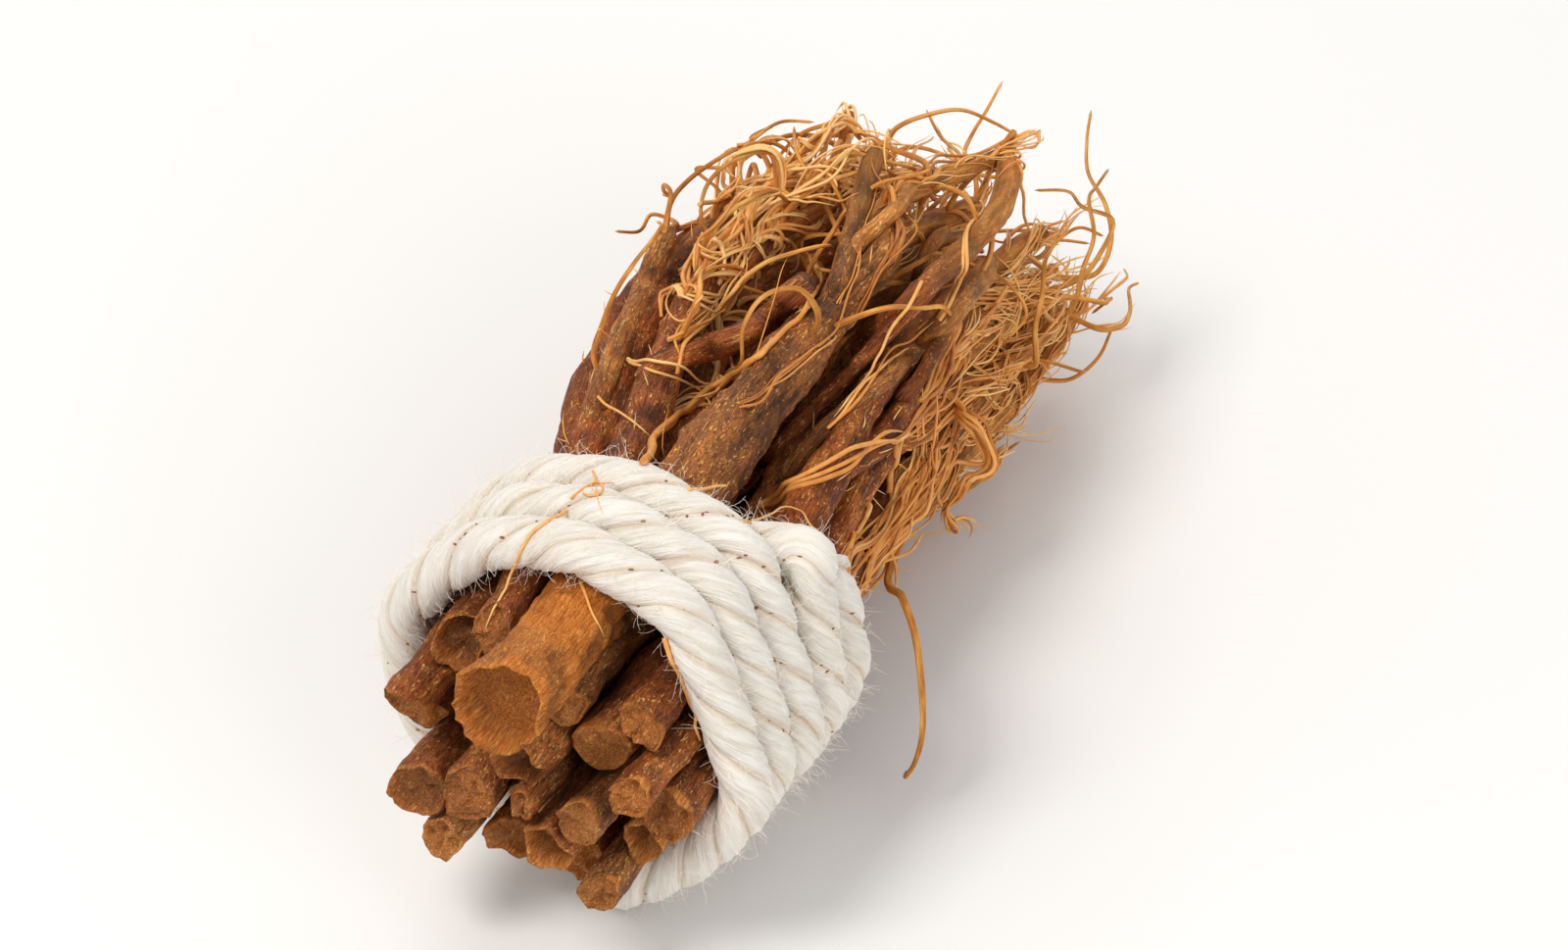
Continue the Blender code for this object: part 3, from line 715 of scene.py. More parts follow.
barkSet = {
    "patterns": {  # width across the root, how much longer it is along it, and its detail
        "patch": (9 * mm, 1.8, 4.0),  # a stretch of bark of one colour
        "grain": (0.45 * mm, 10, 3.0),  # fine wrinkles
        "scratch": (0.42 * mm, 3.2, 1.5),  # pale flecks where the skin has lifted
        "pore": (0.22 * mm, 1.5, 2.0),  # the dry skin's own roughness
        "crease": (0.8 * mm, 6, 2.0),  # fine dark cracks
        "stroke": (1.0 * mm, 1.6, 2.0),  # thin curled edges of lifted skin
        "where": (2.2 * mm, 1.8, 1.0),  # where such edges are
        "wood": (0.32 * mm, 18, 3.0),
        "young": (0.9 * mm, 7, 3.0),
    },
    "bump": 0.2 * mm,
    "kinds": {
        "bark_dark": ("653115", "984f22", "be6c31", "dda350"),
        "bark_reddish": ("6d300d", "964a18", "b26629", "d99f56"),
        "bark_grey": ("5d351b", "8e5326", "b36c34", "e0a655"),
        "bark_tan": ("83461c", "b06a30", "cc8b46", "e8b76e"),
    },
    "wood": ("974b16", "bd6d26", "dc984a"),
    "young": ("9c5921", "cd883a", "eab560"),
}


def barkMaterial(name):
    # Dried root bark: furrowed lengthwise and matt, with painted shade in its grooves and a painted
    # highlight on its ridges, paler flecks where the skin has lifted, bare orange wood where it is gone,
    # and tan young rootlets
    dark, middle, light, fleck = map(linear, barkSet["kinds"][name])
    material, tree, shader = newMaterial(name)
    straight = addNode(tree, "ShaderNodeAttribute", {"attribute_name": "straight"}).outputs["Vector"]
    names = ("relief", "tone", "bare", "young")
    read = [addNode(tree, "ShaderNodeAttribute", {"attribute_name": key}).outputs["Fac"] for key in names]
    relief, tone, bare, young = read
    drawn = {}
    for key, (size, stretch, detail) in barkSet["patterns"].items():
        place = addNode(tree, "ShaderNodeMapping", links={"Vector": straight, "Scale": (1 / stretch, 1, 1)})
        links = {"Vector": place.outputs[0], "Scale": 1 / size, "Detail": detail, "Roughness": 0.6}
        drawn[key] = addNode(tree, "ShaderNodeTexNoise", links=links).outputs[0]
    patch, grain, scratch, pore = (drawn[key] for key in ("patch", "grain", "scratch", "pore"))
    multiplyAdd = {"operation": "MULTIPLY_ADD"}
    white, dim = grey(1), grey(0.42)
    often = addNode(tree, "ShaderNodeMath", multiplyAdd, {0: patch, 1: 0.3, 2: scratch}).outputs[0]
    # painted shade and highlight: the relief value, low in grooves and cut hollows and high on ridges and
    # rims, darkens or lightens the colour
    cavity = addNode(tree, "ShaderNodeMapRange", links={0: relief, 1: -1.0, 2: 1.0}).outputs[0]
    smooth = addNode(tree, "ShaderNodeMath", {"operation": "MAXIMUM"}, {0: bare, 1: young}).outputs[0]
    depth = addNode(tree, "ShaderNodeMapRange", links={0: smooth, 3: 1.0, 4: 0.45}).outputs[0]
    ramps = {  # the value that each ramp reads, then its places and colours
        "skin": (patch, (0.3, dark), (0.5, middle), (0.7, light)),
        "creases": (drawn["crease"], (0.44, white), (0.485, dim), (0.515, dim), (0.56, white)),
        "wrinkles": (grain, (0.3, grey(0.62)), (0.5, white), (0.7, grey(1.25))),
        "pores": (pore, (0.3, grey(0.62)), (0.5, white), (0.7, grey(1.35))),
        "flecks": (often, (0.79, grey(0)), (0.825, grey(0.85))),
        "strokes": (drawn["stroke"], (0.48, grey(0)), (0.5, grey(0.8)), (0.52, grey(0))),
        "where": (drawn["where"], (0.55, grey(0)), (0.6, white)),
        "wood": (drawn["wood"], *zip((0.28, 0.5, 0.74), map(linear, barkSet["wood"]))),
        "young": (drawn["young"], *zip((0.3, 0.52, 0.72), map(linear, barkSet["young"]))),
        "painted_groove_shade": (cavity, (0.0, grey(0.38)), (0.25, grey(0.75)), (0.5, white), (0.95, grey(1.15))),
        "worn": (tone, (0.0, (0.98, 1.1, 1.4, 1)), (0.12, grey(0.8)), (0.5, white), (1.0, grey(1.2))),
    }
    for key, (value, *stops) in ramps.items():
        ramps[key] = addNode(tree, "ShaderNodeValToRGB", {"stops": stops}, {"Fac": value}).outputs["Color"]
    mix = {"data_type": "RGBA", "blend_type": "MULTIPLY"}
    edges = addNode(tree, "ShaderNodeMix", mix, {0: 1.0, 6: ramps["strokes"], 7: ramps["where"]}).outputs[2]
    colour = ramps["skin"]
    layers = [  # how much each layer covers, how it mixes with the ones below, and its colour
        (0.85, "MULTIPLY", ramps["creases"]),
        (1.0, "MULTIPLY", ramps["wrinkles"]),
        (ramps["flecks"], "MIX", fleck),
        (edges, "MIX", fleck),
        (bare, "MIX", ramps["wood"]),
        (1.0, "MULTIPLY", ramps["pores"]),
        (young, "MIX", ramps["young"]),
        # painted shade in the grooves and hollows, weaker on bare wood and young skin
        (depth, "MULTIPLY", ramps["painted_groove_shade"]),
        (1.0, "MULTIPLY", ramps["worn"]),
    ]
    for share, blend, layer in layers:
        mix = {"data_type": "RGBA", "blend_type": blend}
        colour = addNode(tree, "ShaderNodeMix", mix, {0: share, 6: colour, 7: layer}).outputs[2]
    tree.links.new(colour, shader.inputs["Base Color"])
    rough = addNode(tree, "ShaderNodeMapRange", links={0: grain, 1: 0.3, 2: 0.7, 3: 0.6, 4: 0.84})
    tree.links.new(rough.outputs[0], shader.inputs["Roughness"])
    shader.inputs["Specular IOR Level"].default_value = 0.3
    height = addNode(tree, "ShaderNodeMath", multiplyAdd, {0: grain, 1: 1.2, 2: scratch}).outputs[0]
    height = addNode(tree, "ShaderNodeMath", multiplyAdd, {0: pore, 1: 0.5, 2: height}).outputs[0]
    links = {"Height": height, "Distance": barkSet["bump"], "Strength": 0.9}
    tree.links.new(addNode(tree, "ShaderNodeBump", links=links).outputs[0], shader.inputs["Normal"])
    return material


barks = {name: barkMaterial(name) for name in barkSet["kinds"]}
print("bark materials made")


# Roots: each with its forks and its thicker rootlets in one mesh

rootSet = {
    "outerFace": 0.62 * mm,  # how wide a face is round a root that shows
    "innerFace": 0.9 * mm,
    "outerRing": 0.75 * mm,  # how far apart its rings are
    "innerRing": 1.2 * mm,
    "relief": {  # how high in parts of the radius, how long along the root, and how wide round it
        "lump": (0.06, 12 * mm, 30 * mm),
        "fold": (0.08, 9 * mm, 3.4 * mm),
        "wrinkle": (0.06, 5 * mm, 1.7 * mm),
        "fibre": (0.035, 2.6 * mm, 0.8 * mm),
        "crack": (0.02, 0.9 * mm, 3 * mm),
    },
    "strength": {"main": 1.0, "fork": 0.9, "rootlet": 0.7},  # of the relief
    "knobs": 16,  # on a root of knobOver in length
    "knobOver": 170 * mm,
    "knobHeight": 0.5 * mm,
    "knobSizes": (0.7, 1.5),  # in mm
    "youngFrom": 70 * mm,  # past the tie, where the skin starts to turn paler
    "youngOver": 60 * mm,
    "youngMost": 0.55,
    "youngRootlet": 0.96,
    "capPast": 1.0 * mm,  # how far the rim stands past the first station
    "teeth": [(4, 2.2), (11, 0.7), (23, 0.6)],  # how many round a torn rim, and how deep in mm
    "thickTeeth": [(4, 3.4), (11, 0.7), (23, 0.6)],
    "notch": 3.6 * mm,  # how far the thick root is torn away on top
    "slant": 0.45,  # how askew a cut may be, in parts of the radius
    "rimFade": 6 * mm,
    "hollows": [0.35, 0.5, 0.8, 1.6, 3.4],  # how deep a cut face lies, in mm
    "thickHollow": 3.2,
    "wallShare": 0.82,  # where the wall round a hollow starts, in parts of the radius
    "faceBump": 0.7 * mm,
    "rootletShare": (0.8, 0.55),  # how thick a rootlet is drawn from its foot to its tip
    "weathered": (-16 * mm, -4 * mm),  # past the tie, where the bark is no longer greyed
    "bareFrom": -9 * mm,  # the thick root has lost its bark below this, from the middle of the tie
    "bareEdge": (2.6 * mm, 5 * mm, 6),  # how uneven the bark's edge is, over what length, ways round
    "film": (6 * mm, 4),  # over what length a film of bark is left on the bare wood, ways round
    "filmCover": 0.45,
    "floor": 0.02 * mm,  # nothing lies lower
    "barks": {  # which roots have which bark, and the others are dark
        "bark_reddish": (0, 1, 4, 5, 9),
        "bark_tan": (7, 11, 16, 20),
        "bark_grey": (3, 8, 14, 18),
    },
}


def barkRelief(rng, run, turn, girth, kind):  # how high the bark stands, and the painted shade and highlight for that: darker in its grooves, lighter on its ridges
    high, drawn = {}, {}
    for key, (height, length, width) in rootSet["relief"].items():
        high[key] = height
        drawn[key] = patches(rng, run, turn, length, max(3, int(round(girth / width))))
    lump, fibre = drawn["lump"], drawn["fibre"]
    fold, wrinkle = 1 - 2 * np.abs(drawn["fold"]), 1 - 2 * np.abs(drawn["wrinkle"])
    height = high["lump"] * lump + high["fold"] * (fold - 0.5) + high["wrinkle"] * (wrinkle - 0.5)
    height = height + high["fibre"] * fibre + high["crack"] * drawn["crack"] * (lump > 0)
    # painted shade and highlight: lighter where the folds and wrinkles stand high, darker where they sink
    colour = np.clip(0.55 * (fold - 0.4) + 0.6 * (wrinkle - 0.4) + 0.35 * fibre, -1, 1)
    return rootSet["strength"][kind] * height, colour


def knobbed(rng, run, turn, wide):  # low knobs here and there
    for _ in range(int(rootSet["knobs"] * run.max() / rootSet["knobOver"])):
        size = rng.uniform(*rootSet["knobSizes"]) * mm
        ahead = run - rng.uniform(0, run.max())
        beside = ((turn - rng.uniform(0, 6.28) + 3.14) % 6.28 - 3.14) * wide
        height = rng.uniform(0.4, 1) * rootSet["knobHeight"]
        wide = wide + height * np.exp(-((np.hypot(ahead, beside) / size) ** 2))
    return wide


def tornRim(rng, turn, radius, thick):  # how far each point of a cut end's rim stands back
    ragged = 0
    for teeth, depth in rootSet["thickTeeth" if thick else "teeth"]:
        ragged = ragged + np.abs(patches(rng, 0 * turn, turn, 1, teeth)) * depth * mm
    if thick:  # torn away on top, so that the trough inside shows between two corners
        ragged = 0.5 * ragged + rootSet["notch"] * np.clip(np.sin(turn - math.radians(15)), 0, 1) ** 1.5
    slant = rng.uniform(0, rootSet["slant"]) * radius[0] * (not thick)
    ragged = ragged + slant * (1 + np.cos(turn - rng.uniform(0, 6.28)))
    return ragged - rootSet["capPast"]


def bareWood(rng, run, turn, thick):  # where the bark is gone, under thin films of what is left of it
    uneven, length, ways = rootSet["bareEdge"]
    edge = run + uneven * patches(rng, run, turn, length, ways)
    limit = rootSet["bareFrom"] - bundleSet["cutEnd"] if thick else 0.7 * mm
    before, after = (2 * mm, 0.6 * mm) if thick else (0.7 * mm, 0)
    bare = 1 - smoothStep(limit - before, limit + after, edge)
    film = smoothStep(0.12, 0.2, patches(rng, run, turn, *rootSet["film"]))
    return bare * (1 - rootSet["filmCover"] * film)


def cutFace(rng, values, start, turn, wide, rim, hollow, thick):  # a cut end's rings, and their values
    place, way, side, up = start
    wall = rootSet["wallShare"]
    parts = [(0.3, 1), (0.6, 0.96), (wall, 0.8), (wall + 0.06, 0.3), (0.95, 0)]  # of radius and depth
    count = len(parts)
    level = 0.7 * rim.max() if thick else 0
    rings = []
    for part, deep in parts:
        depth = deep * hollow
        bumps = rootSet["faceBump"] * patches(rng, 0 * turn, turn, 1, 9)[0]
        along = rim + (level - 0.7 * rim) * min(1, 1.25 * depth / hollow) if thick else rim
        out = part * wide
        across = side * (out * np.cos(turn[0]))[:, None] + up * (out * np.sin(turn[0]))[:, None]
        rings.append(place + (along + depth + bumps)[:, None] * way + across)
    for key, grid in values.items():
        values[key] = np.concatenate([np.repeat(grid[:1], count, axis=0), grid])
    for i, (part, deep) in enumerate(parts):
        values["straight"][i, :, 1:] *= part
        values["straight"][i, :, 0] -= 0.4 * deep * hollow
    depths = np.array([deep for _, deep in parts])
    # painted shade: the cut face is drawn darker the deeper it lies in its hollow, and darker still on the
    # thick root's face
    shade = 0.3 - 1.3 * depths * min(1, hollow / (2 * mm)) - (0.3 if thick else 0)
    values["relief"][:count] = shade[:, None] + 0 * turn
    values["bare"][:count] = 1 if thick else rng.uniform(0.25, 0.7)
    return np.array(rings)


def addRod(shell, rng, number, kind, line, radii):
    outer = number < len(bundleSet["outerRing"])
    thick = kind == "main" and number == bundleSet["thickRoot"]
    face = rootSet["outerFace" if outer else "innerFace"]
    ring = rootSet["outerRing" if outer else "innerRing"]
    if kind == "rootlet":
        face, ring = 0.5 * mm, 0.9 * mm
        radii = radii * np.linspace(*rootSet["rootletShare"], len(radii))
    path, radius = smoothPath(line, radii, ring)
    way, side, up = carriedFrames(path)
    fromTie = path[:, 0] + bundleSet["origin"][0]
    run = arcLength(path)
    girth = 2 * math.pi * radius.mean()
    sides = max(8, int(round(girth / face)))
    turn, run = np.meshgrid(2 * math.pi * np.arange(sides) / sides, run)
    height, relief = barkRelief(rng, run, turn, girth, kind)
    wide = radius[:, None] * (1 + height)
    if kind != "rootlet":
        wide = knobbed(rng, run, turn, wide)
    tip = np.clip((run.max() - run) / (1.5 * radius[-1] + 0.5 * mm), 0, 1)
    wide = wide * np.sqrt(np.clip(1 - (1 - tip) ** 2, 0.02, 1))
    young = np.clip((fromTie - rootSet["youngFrom"]) / rootSet["youngOver"], 0, rootSet["youngMost"])
    young = np.full_like(young, rootSet["youngRootlet"]) if kind == "rootlet" else young
    shift = bare = np.zeros_like(run)
    if kind == "main":
        rim = tornRim(rng, turn, radius, thick)
        hollow = (rootSet["thickHollow"] if thick else rng.choice(rootSet["hollows"])) * mm
        shift = rim * np.exp(-run / rootSet["rimFade"])
        bare = bareWood(rng, run, turn, thick)
        # painted highlight: the relief value is raised along the cut rim, so the rim is drawn lighter
        relief = relief + 0.7 * np.exp(-((run / mm) ** 2))
    rings = np.repeat(path[:, None], sides, axis=1) + way[:, None] * shift[..., None]
    across, upwards = wide * np.cos(turn), wide * np.sin(turn)
    rings = rings + side[:, None] * across[..., None] + up[:, None] * upwards[..., None]
    straight = np.stack([run + 0.31 * number, across, upwards], axis=-1)
    tone = np.clip(0.5 + 0.35 * rng.uniform(-1, 1) + 0.3 * patches(rng, run, turn, 16 * mm, 3), 0.12, 1)
    tone = np.clip(tone + 0.35, 0, 1) if kind == "rootlet" else tone
    if kind == "main" and not thick:  # greyer where the cut ends have weathered
        tone = tone * smoothStep(*rootSet["weathered"], fromTie)[:, None]
    young = young[:, None] + 0 * run
    values = {"straight": straight, "tone": tone, "relief": relief, "bare": bare, "young": young}
    startPole = rings[0].mean(axis=0)
    if kind == "main":
        start = path[0], way[0], side[0], up[0]
        inner = cutFace(rng, values, start, turn[:1], wide[0], rim[0], hollow, thick)
        rings = np.concatenate([inner, rings])
        startPole = rings[0].mean(axis=0) + way[0] * 0.3 * mm
    rings[..., 2] = np.maximum(rings[..., 2], rootSet["floor"])
    shell.addTube(rings, values, startPole, rings[-1].mean(axis=0) + way[-1] * 0.3 * wide[-1].mean())


def barkOf(number):
    return next((kind for kind, numbers in rootSet["barks"].items() if number in numbers), "bark_dark")


rootPieces = []
for number, rods in enumerate(roots):
    rng = np.random.default_rng(100 + number)
    shell = Shell()
    for kind, line, radii in rods:
        addRod(shell, rng, number, kind, line, radii)
    name = f"root_{number + 1:02d}"
    piece = shell.build(name + "_bark", barks[barkOf(number)])
    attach(piece, "root")
    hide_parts(name)
    rootPieces.append(piece)
print("roots made:", sum(len(piece.data.polygons) for piece in rootPieces), "faces")


# The rope: three soft strands laid to the left round each other

strandSet = {
    "offset": 1.7 * mm,  # from the rope's middle to a strand's
    "thick": 2.35 * mm,  # half a strand outwards, and sideways
    "wide": 2.85 * mm,
    "ring": 0.9 * mm,
    "sides": 22,
    "yarns": 7,
    "yarnRelief": 0.04,
    "yarnTurn": 60 * mm,  # a yarn's own turn round its strand
    "soft": [(0.05, 7 * mm, 3), (0.03, 2.5 * mm, 5)],  # how uneven it is, over what length, ways round
    "endPast": 0.6 * mm,
    "fibre": (0.28 * mm, 12),  # a fibre's width, and how much longer the pattern is
    "tuft": (1.1 * mm, 6),
    "bump": 0.3 * mm,
    "colours": ("dfd6c9", "ece5da", "f4efe7"),
    # painted shade: the warm, darker colours drawn into the grooves between the strands
    "painted_groove_shade": ("b8946e", "efe4d6"),
}


def cottonMaterial():
    # Soft undyed cotton: off-white and matt, its fibres nearly along the rope, with painted warm shade in
    # the grooves between the strands
    material, tree, shader = newMaterial("cotton")
    straight = addNode(tree, "ShaderNodeAttribute", {"attribute_name": "straight"}).outputs["Vector"]
    relief = addNode(tree, "ShaderNodeAttribute", {"attribute_name": "relief"}).outputs["Fac"]
    heights = []
    for size, stretch in (strandSet["fibre"], strandSet["tuft"]):
        place = addNode(tree, "ShaderNodeMapping", links={"Vector": straight, "Scale": (1 / stretch, 1, 1)})
        links = {"Vector": place.outputs[0], "Scale": 1 / size, "Detail": 3.0}
        heights.append(addNode(tree, "ShaderNodeTexNoise", links=links).outputs[0])
    stops = [*zip((0.3, 0.5, 0.7), map(linear, strandSet["colours"]))]
    colour = addNode(tree, "ShaderNodeValToRGB", {"stops": stops}, {"Fac": heights[1]}).outputs["Color"]
    # painted shade: warmer and darker where the relief value is low, between the strands
    stops = [*zip((0.0, 0.4), map(linear, strandSet["painted_groove_shade"])), (0.8, grey(1))]
    shade = addNode(tree, "ShaderNodeValToRGB", {"stops": stops}, {"Fac": relief}).outputs["Color"]
    settings = {"data_type": "RGBA", "blend_type": "MULTIPLY"}
    colour = addNode(tree, "ShaderNodeMix", settings, {0: 0.8, 6: colour, 7: shade}).outputs[2]
    tree.links.new(colour, shader.inputs["Base Color"])
    links = {0: heights[0], 1: 1.4, 2: heights[1]}
    height = addNode(tree, "ShaderNodeMath", {"operation": "MULTIPLY_ADD"}, links).outputs[0]
    links = {"Height": height, "Distance": strandSet["bump"], "Strength": 0.9}
    tree.links.new(addNode(tree, "ShaderNodeBump", links=links).outputs[0], shader.inputs["Normal"])
    shader.inputs["Roughness"].default_value = 0.9
    shader.inputs["Sheen Weight"].default_value = 0.25
    return material


cotton = cottonMaterial()


def ropePiece():  # the rope's three strands, and the places, ways out and ways along of its skin
    path, _ = smoothPath(ropeLine, np.full(len(ropeLine), ropeSet["radius"]), strandSet["ring"])
    way, side, up = carriedFrames(path)
    length = arcLength(path)
    rng = np.random.default_rng(31)
    shell, skin = Shell(), []
    sides = strandSet["sides"]
    turn, run = np.meshgrid(2 * math.pi * np.arange(sides) / sides, length)
    for strand in range(3):
        lay = 2 * math.pi * (strand / 3 - length / ropeSet["strandTwistLength"])
        out = side * np.cos(lay)[:, None] + up * np.sin(lay)[:, None]
        across = np.cross(way, out)
        soft = 1
        for amount, over, ways in strandSet["soft"]:
            soft = soft + amount * patches(rng, run, turn, over, ways)
        yarn = np.cos(strandSet["yarns"] * (turn + 2 * math.pi * run / strandSet["yarnTurn"]))
        wide = soft * (1 + strandSet["yarnRelief"] * yarn)
        outwards = strandSet["offset"] + strandSet["thick"] * wide * np.cos(turn)
        sideways = strandSet["wide"] * wide * np.sin(turn)
        rings = path[:, None] + out[:, None] * outwards[..., None] + across[:, None] * sideways[..., None]
        rings[..., 2] = np.maximum(rings[..., 2], rootSet["floor"])
        # painted shade: low near the rope's middle, where the strands meet, and the cotton turns that into
        # darker warm grooves
        relief = np.clip((np.hypot(outwards, sideways) - 3.0 * mm) / (1.0 * mm), 0, 1)
        straight = [run + 0.9 * strand, wide * np.cos(turn) * 2 * mm, wide * np.sin(turn) * 2.6 * mm]
        values = {"straight": np.stack(straight, axis=-1), "relief": relief}
        values |= {"tone": 0.5 + 0 * run, "bare": 0 * run, "young": 0 * run}
        past = strandSet["endPast"]
        ends = [rings[i].mean(axis=0) + way[i] * ahead for i, ahead in ((0, -past), (-1, past))]
        shell.addTube(rings, values, *ends)
        outwards = unitRows(rings - path[:, None])
        along = np.roll(rings, -1, axis=0) - rings
        skin.append(np.concatenate([rings, outwards, along], axis=2)[1:-2].reshape(-1, 9))
    piece = shell.build("rope_strands", cotton)
    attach(piece, "root")
    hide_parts("rope_tie")
    return piece, np.vstack(skin)


rope, ropeSkin = ropePiece()
print("rope made:", len(rope.data.polygons), "faces")


# Fine rootlets: curled hairs that lie over the roots, run in their grooves and fringe the tips

hairSet = {
    "step": 1.2 * mm,
    "sink": 0.5 * mm,  # how deep a hair is rooted
    "past": 1.0 * mm,  # how far a hair may pass the solids' box
    "floor": 0.5 * mm,
    "sides": 4,
    "mostTurn": 6.5,
    "colours": ("894919", "b86c28", "d88c3b", "eca755", "f7c87e"),
    "grain": 1.6 * mm,
    "bump": 0.12 * mm,
    "steady": 20,  # bends a metre, under which a hair needs fewer points
    "crowded": 0.34,  # how much of a hair may lie over places that stay nearly free
    "clear": [  # few hairs in these, (from, to) mm past the tie and (from, to) degrees round it
        ((16, 86), (14, 62)),
        ((20, 92), (104, 123)),
        ((22, 62), (134, 155)),
    ],
    "bareBeside": 1.0 * mm,  # and few hairs this near a side root
    "crossing": 0.12,  # how often a hair lies there all the same
}

hairGroups = {
    # leaders and hairs beside each, (from, to) mm past the tie, (from, to) degrees round it, lengths
    # and half thicknesses in mm, bends a metre, how steadily they bend, and how they lie: along the
    # root, off it in mm, drawn to it, drawn to the bundle's middle, and how light they are
    "tangle": (66, 3, (38, 102), (66, 106), (30, 62), (0.25, 0.44), 42, 0.07, (0.35, 1.2, 0.5, 0.1), 0.82),
    "nearer": (40, 3, (40, 66), (64, 102), (16, 34), (0.25, 0.42), 46, 0.08, (0.35, 1.2, 0.5, 0.1), 0.8),
    "between": (34, 3, (22, 72), (118, 138), (28, 60), (0.2, 0.42), 8, 0.12, (1.0, 0.3, 0.6, 0.5), 0.42),
    "cover": (120, 1, (80, 122), (-180, 180), (14, 40), (0.16, 0.32), 34, 0.1, (0.5, 1.0, 0.5, 0.2), 0.62),
    "groove": (85, 3, (22, 90), (-180, 180), (30, 80), (0.2, 0.4), 8, 0.12, (1.0, 0.3, 0.6, 0.5), 0.52),
    "right": (28, 4, (26, 84), (112, 200), (30, 75), (0.2, 0.45), 9, 0.1, (1.0, 0.6, 0.5, 0.4), 0.48),
    "frayed": (12, 3, (34, 52), (156, 184), (14, 26), (0.2, 0.38), 22, 0.15, (-0.8, 0.8, 0.5, 0.1), 0.55),
    "fringe": (350, 2, (84, 134), (-180, 180), (7, 20), (0.13, 0.3), 30, 0.1, (0.7, 1.8, 0.25, 0.0), 0.72),
    "stray": (50, 0, (20, 120), (-180, 180), (6, 22), (0.12, 0.2), 22, 0.2, (0.4, 9.0, 0.02, 0.0), 0.6),
    "stub": (420, 0, (16, 120), (-180, 180), (0.8, 3.2), (0.12, 0.28), 30, 0.3, (0.5, 9.0, 0.0, 0.0), 0.75),
}


def treeOf(pieces):  # the surfaces that hairs keep off
    places, faces, count = [], [], 0
    for piece in pieces:
        mesh = piece.data
        points = np.empty(len(mesh.vertices) * 3, np.float32)
        mesh.vertices.foreach_get("co", points)
        mesh.calc_loop_triangles()
        corners = np.empty(len(mesh.loop_triangles) * 3, np.int32)
        mesh.loop_triangles.foreach_get("vertices", corners)
        places.append(points.reshape(-1, 3))
        faces.append(corners.reshape(-1, 3) + count)
        count += len(mesh.vertices)
    return BVHTree.FromPolygons(np.vstack(places).tolist(), np.vstack(faces).tolist())


def bundleMiddle(x):  # the bundle's own middle at a place along it, and x from the middle of the tie
    fromTie = x + bundleSet["origin"][0]
    _, sideways, height = bundleShape(fromTie)
    return np.array([x, sideways - bundleSet["origin"][1], height - bundleSet["origin"][2]]), fromTie


def seats():  # places along every root and fork where a hair can be rooted
    rows = []
    for rods in roots:
        for kind, line, radii in rods:
            if kind == "rootlet":
                continue
            path, radius = smoothPath(line, radii, 1.0 * mm)
            rows.append(np.column_stack([path, unitRows(np.gradient(path, axis=0)), radius]))
    return np.vstack(rows)


def onBald(point):  # whether a place is over a root that stays nearly free of hairs
    if (np.linalg.norm(sideLines[:, :3] - point, axis=1) < sideLines[:, 3] + hairSet["bareBeside"]).any():
        return True
    middle, fromTie = bundleMiddle(point[0])
    turned = degreesRound(*(point - middle)[1:])
    return any(a < fromTie / mm < b and c < turned < d for (a, b), (c, d) in hairSet["clear"])


def findSeat(rng, tree, rows, along, around, everywhere):  # a place for a hair, and the ways out and on
    for _ in range(60):
        row = rows[rng.integers(len(rows))]
        point, way, radius = row[:3], row[3:6], row[6]
        middle, fromTie = bundleMiddle(point[0])
        if not along[0] * mm < fromTie < along[1] * mm:
            continue
        out = rng.normal(size=3) * 0.55
        out += (point - middle) / (np.linalg.norm(point - middle) + 1e-6)
        out = unit(out - way * out.dot(way))
        place = point + out * radius
        turned = degreesRound(*(place - middle)[1:])
        if turned < around[0] and around[1] > 180:
            turned += 360
        if not around[0] < turned < around[1]:
            continue
        if onBald(place) and not everywhere and rng.random() > hairSet["crossing"]:
            continue
        hit = tree.ray_cast(Vector(place + out * 1.2 * mm), Vector(out), 25 * mm)
        if hit[0] is None:
            return place, out, way
    return None


def growHair(rng, tree, seat, length, thick, curl, change, lie):  # step by step over what lies beneath it
    flow, slack, pull, inward = lie
    place, out, way = seat
    step = hairSet["step"]
    heading = out * 0.5 + way * rng.uniform(0.3, 1.2) * math.copysign(1, flow) + 0.4 * rng.normal(size=3)
    heading = unit(heading)
    points = [place - out * hairSet["sink"], place + out * thick]
    bend, loose, turned = rng.normal() * curl, rng.normal(size=3), 0
    for _ in range(max(2, int(length / step))):
        bend += change * (1.4 * rng.normal() * curl - bend) + 1.2 * change * curl * rng.normal()
        loose += 0.4 * rng.normal(size=3)
        axis = unit(out + 0.4 * loose / np.linalg.norm(loose))
        angle = 2 * math.pi * bend * step
        turned += angle
        if abs(turned) > hairSet["mostTurn"]:  # a loop opens again after about a turn
            bend, turned = -0.6 * bend, 0
        heading = heading * math.cos(angle) + np.cross(axis, heading) * math.sin(angle)
        heading = heading + flow * 0.3 * way - inward * out * 0.5 + 0.05 * rng.normal(size=3)
        place = points[-1] + unit(heading) * step
        place, out = offSurface(tree, place, out, thick, slack * mm, pull * step)
        place = np.clip(place, lowCorner - hairSet["past"], highCorner + hairSet["past"])
        place[2] = max(place[2], hairSet["floor"])
        if np.linalg.norm(place - points[-1]) < 0.3 * step:
            break
        heading = unit(place - points[-1])
        points.append(place)
    return np.array(points)


def offSurface(tree, place, out, thick, slack, draw):  # pushed out of what it lies on, or drawn back to it
    found, normal, _, away = tree.find_nearest(Vector(place))
    found, normal = np.array(found), np.array(normal)
    gap = place - found
    if gap.dot(normal) < 0 or away < thick:
        out = normal if gap.dot(normal) < 0 or away < 1e-6 else gap / away
        return found + out * thick, out
    if away > slack:
        place = place - draw * gap / away
    out = 0.5 * out + 0.5 * gap / away
    return place, unit(out)


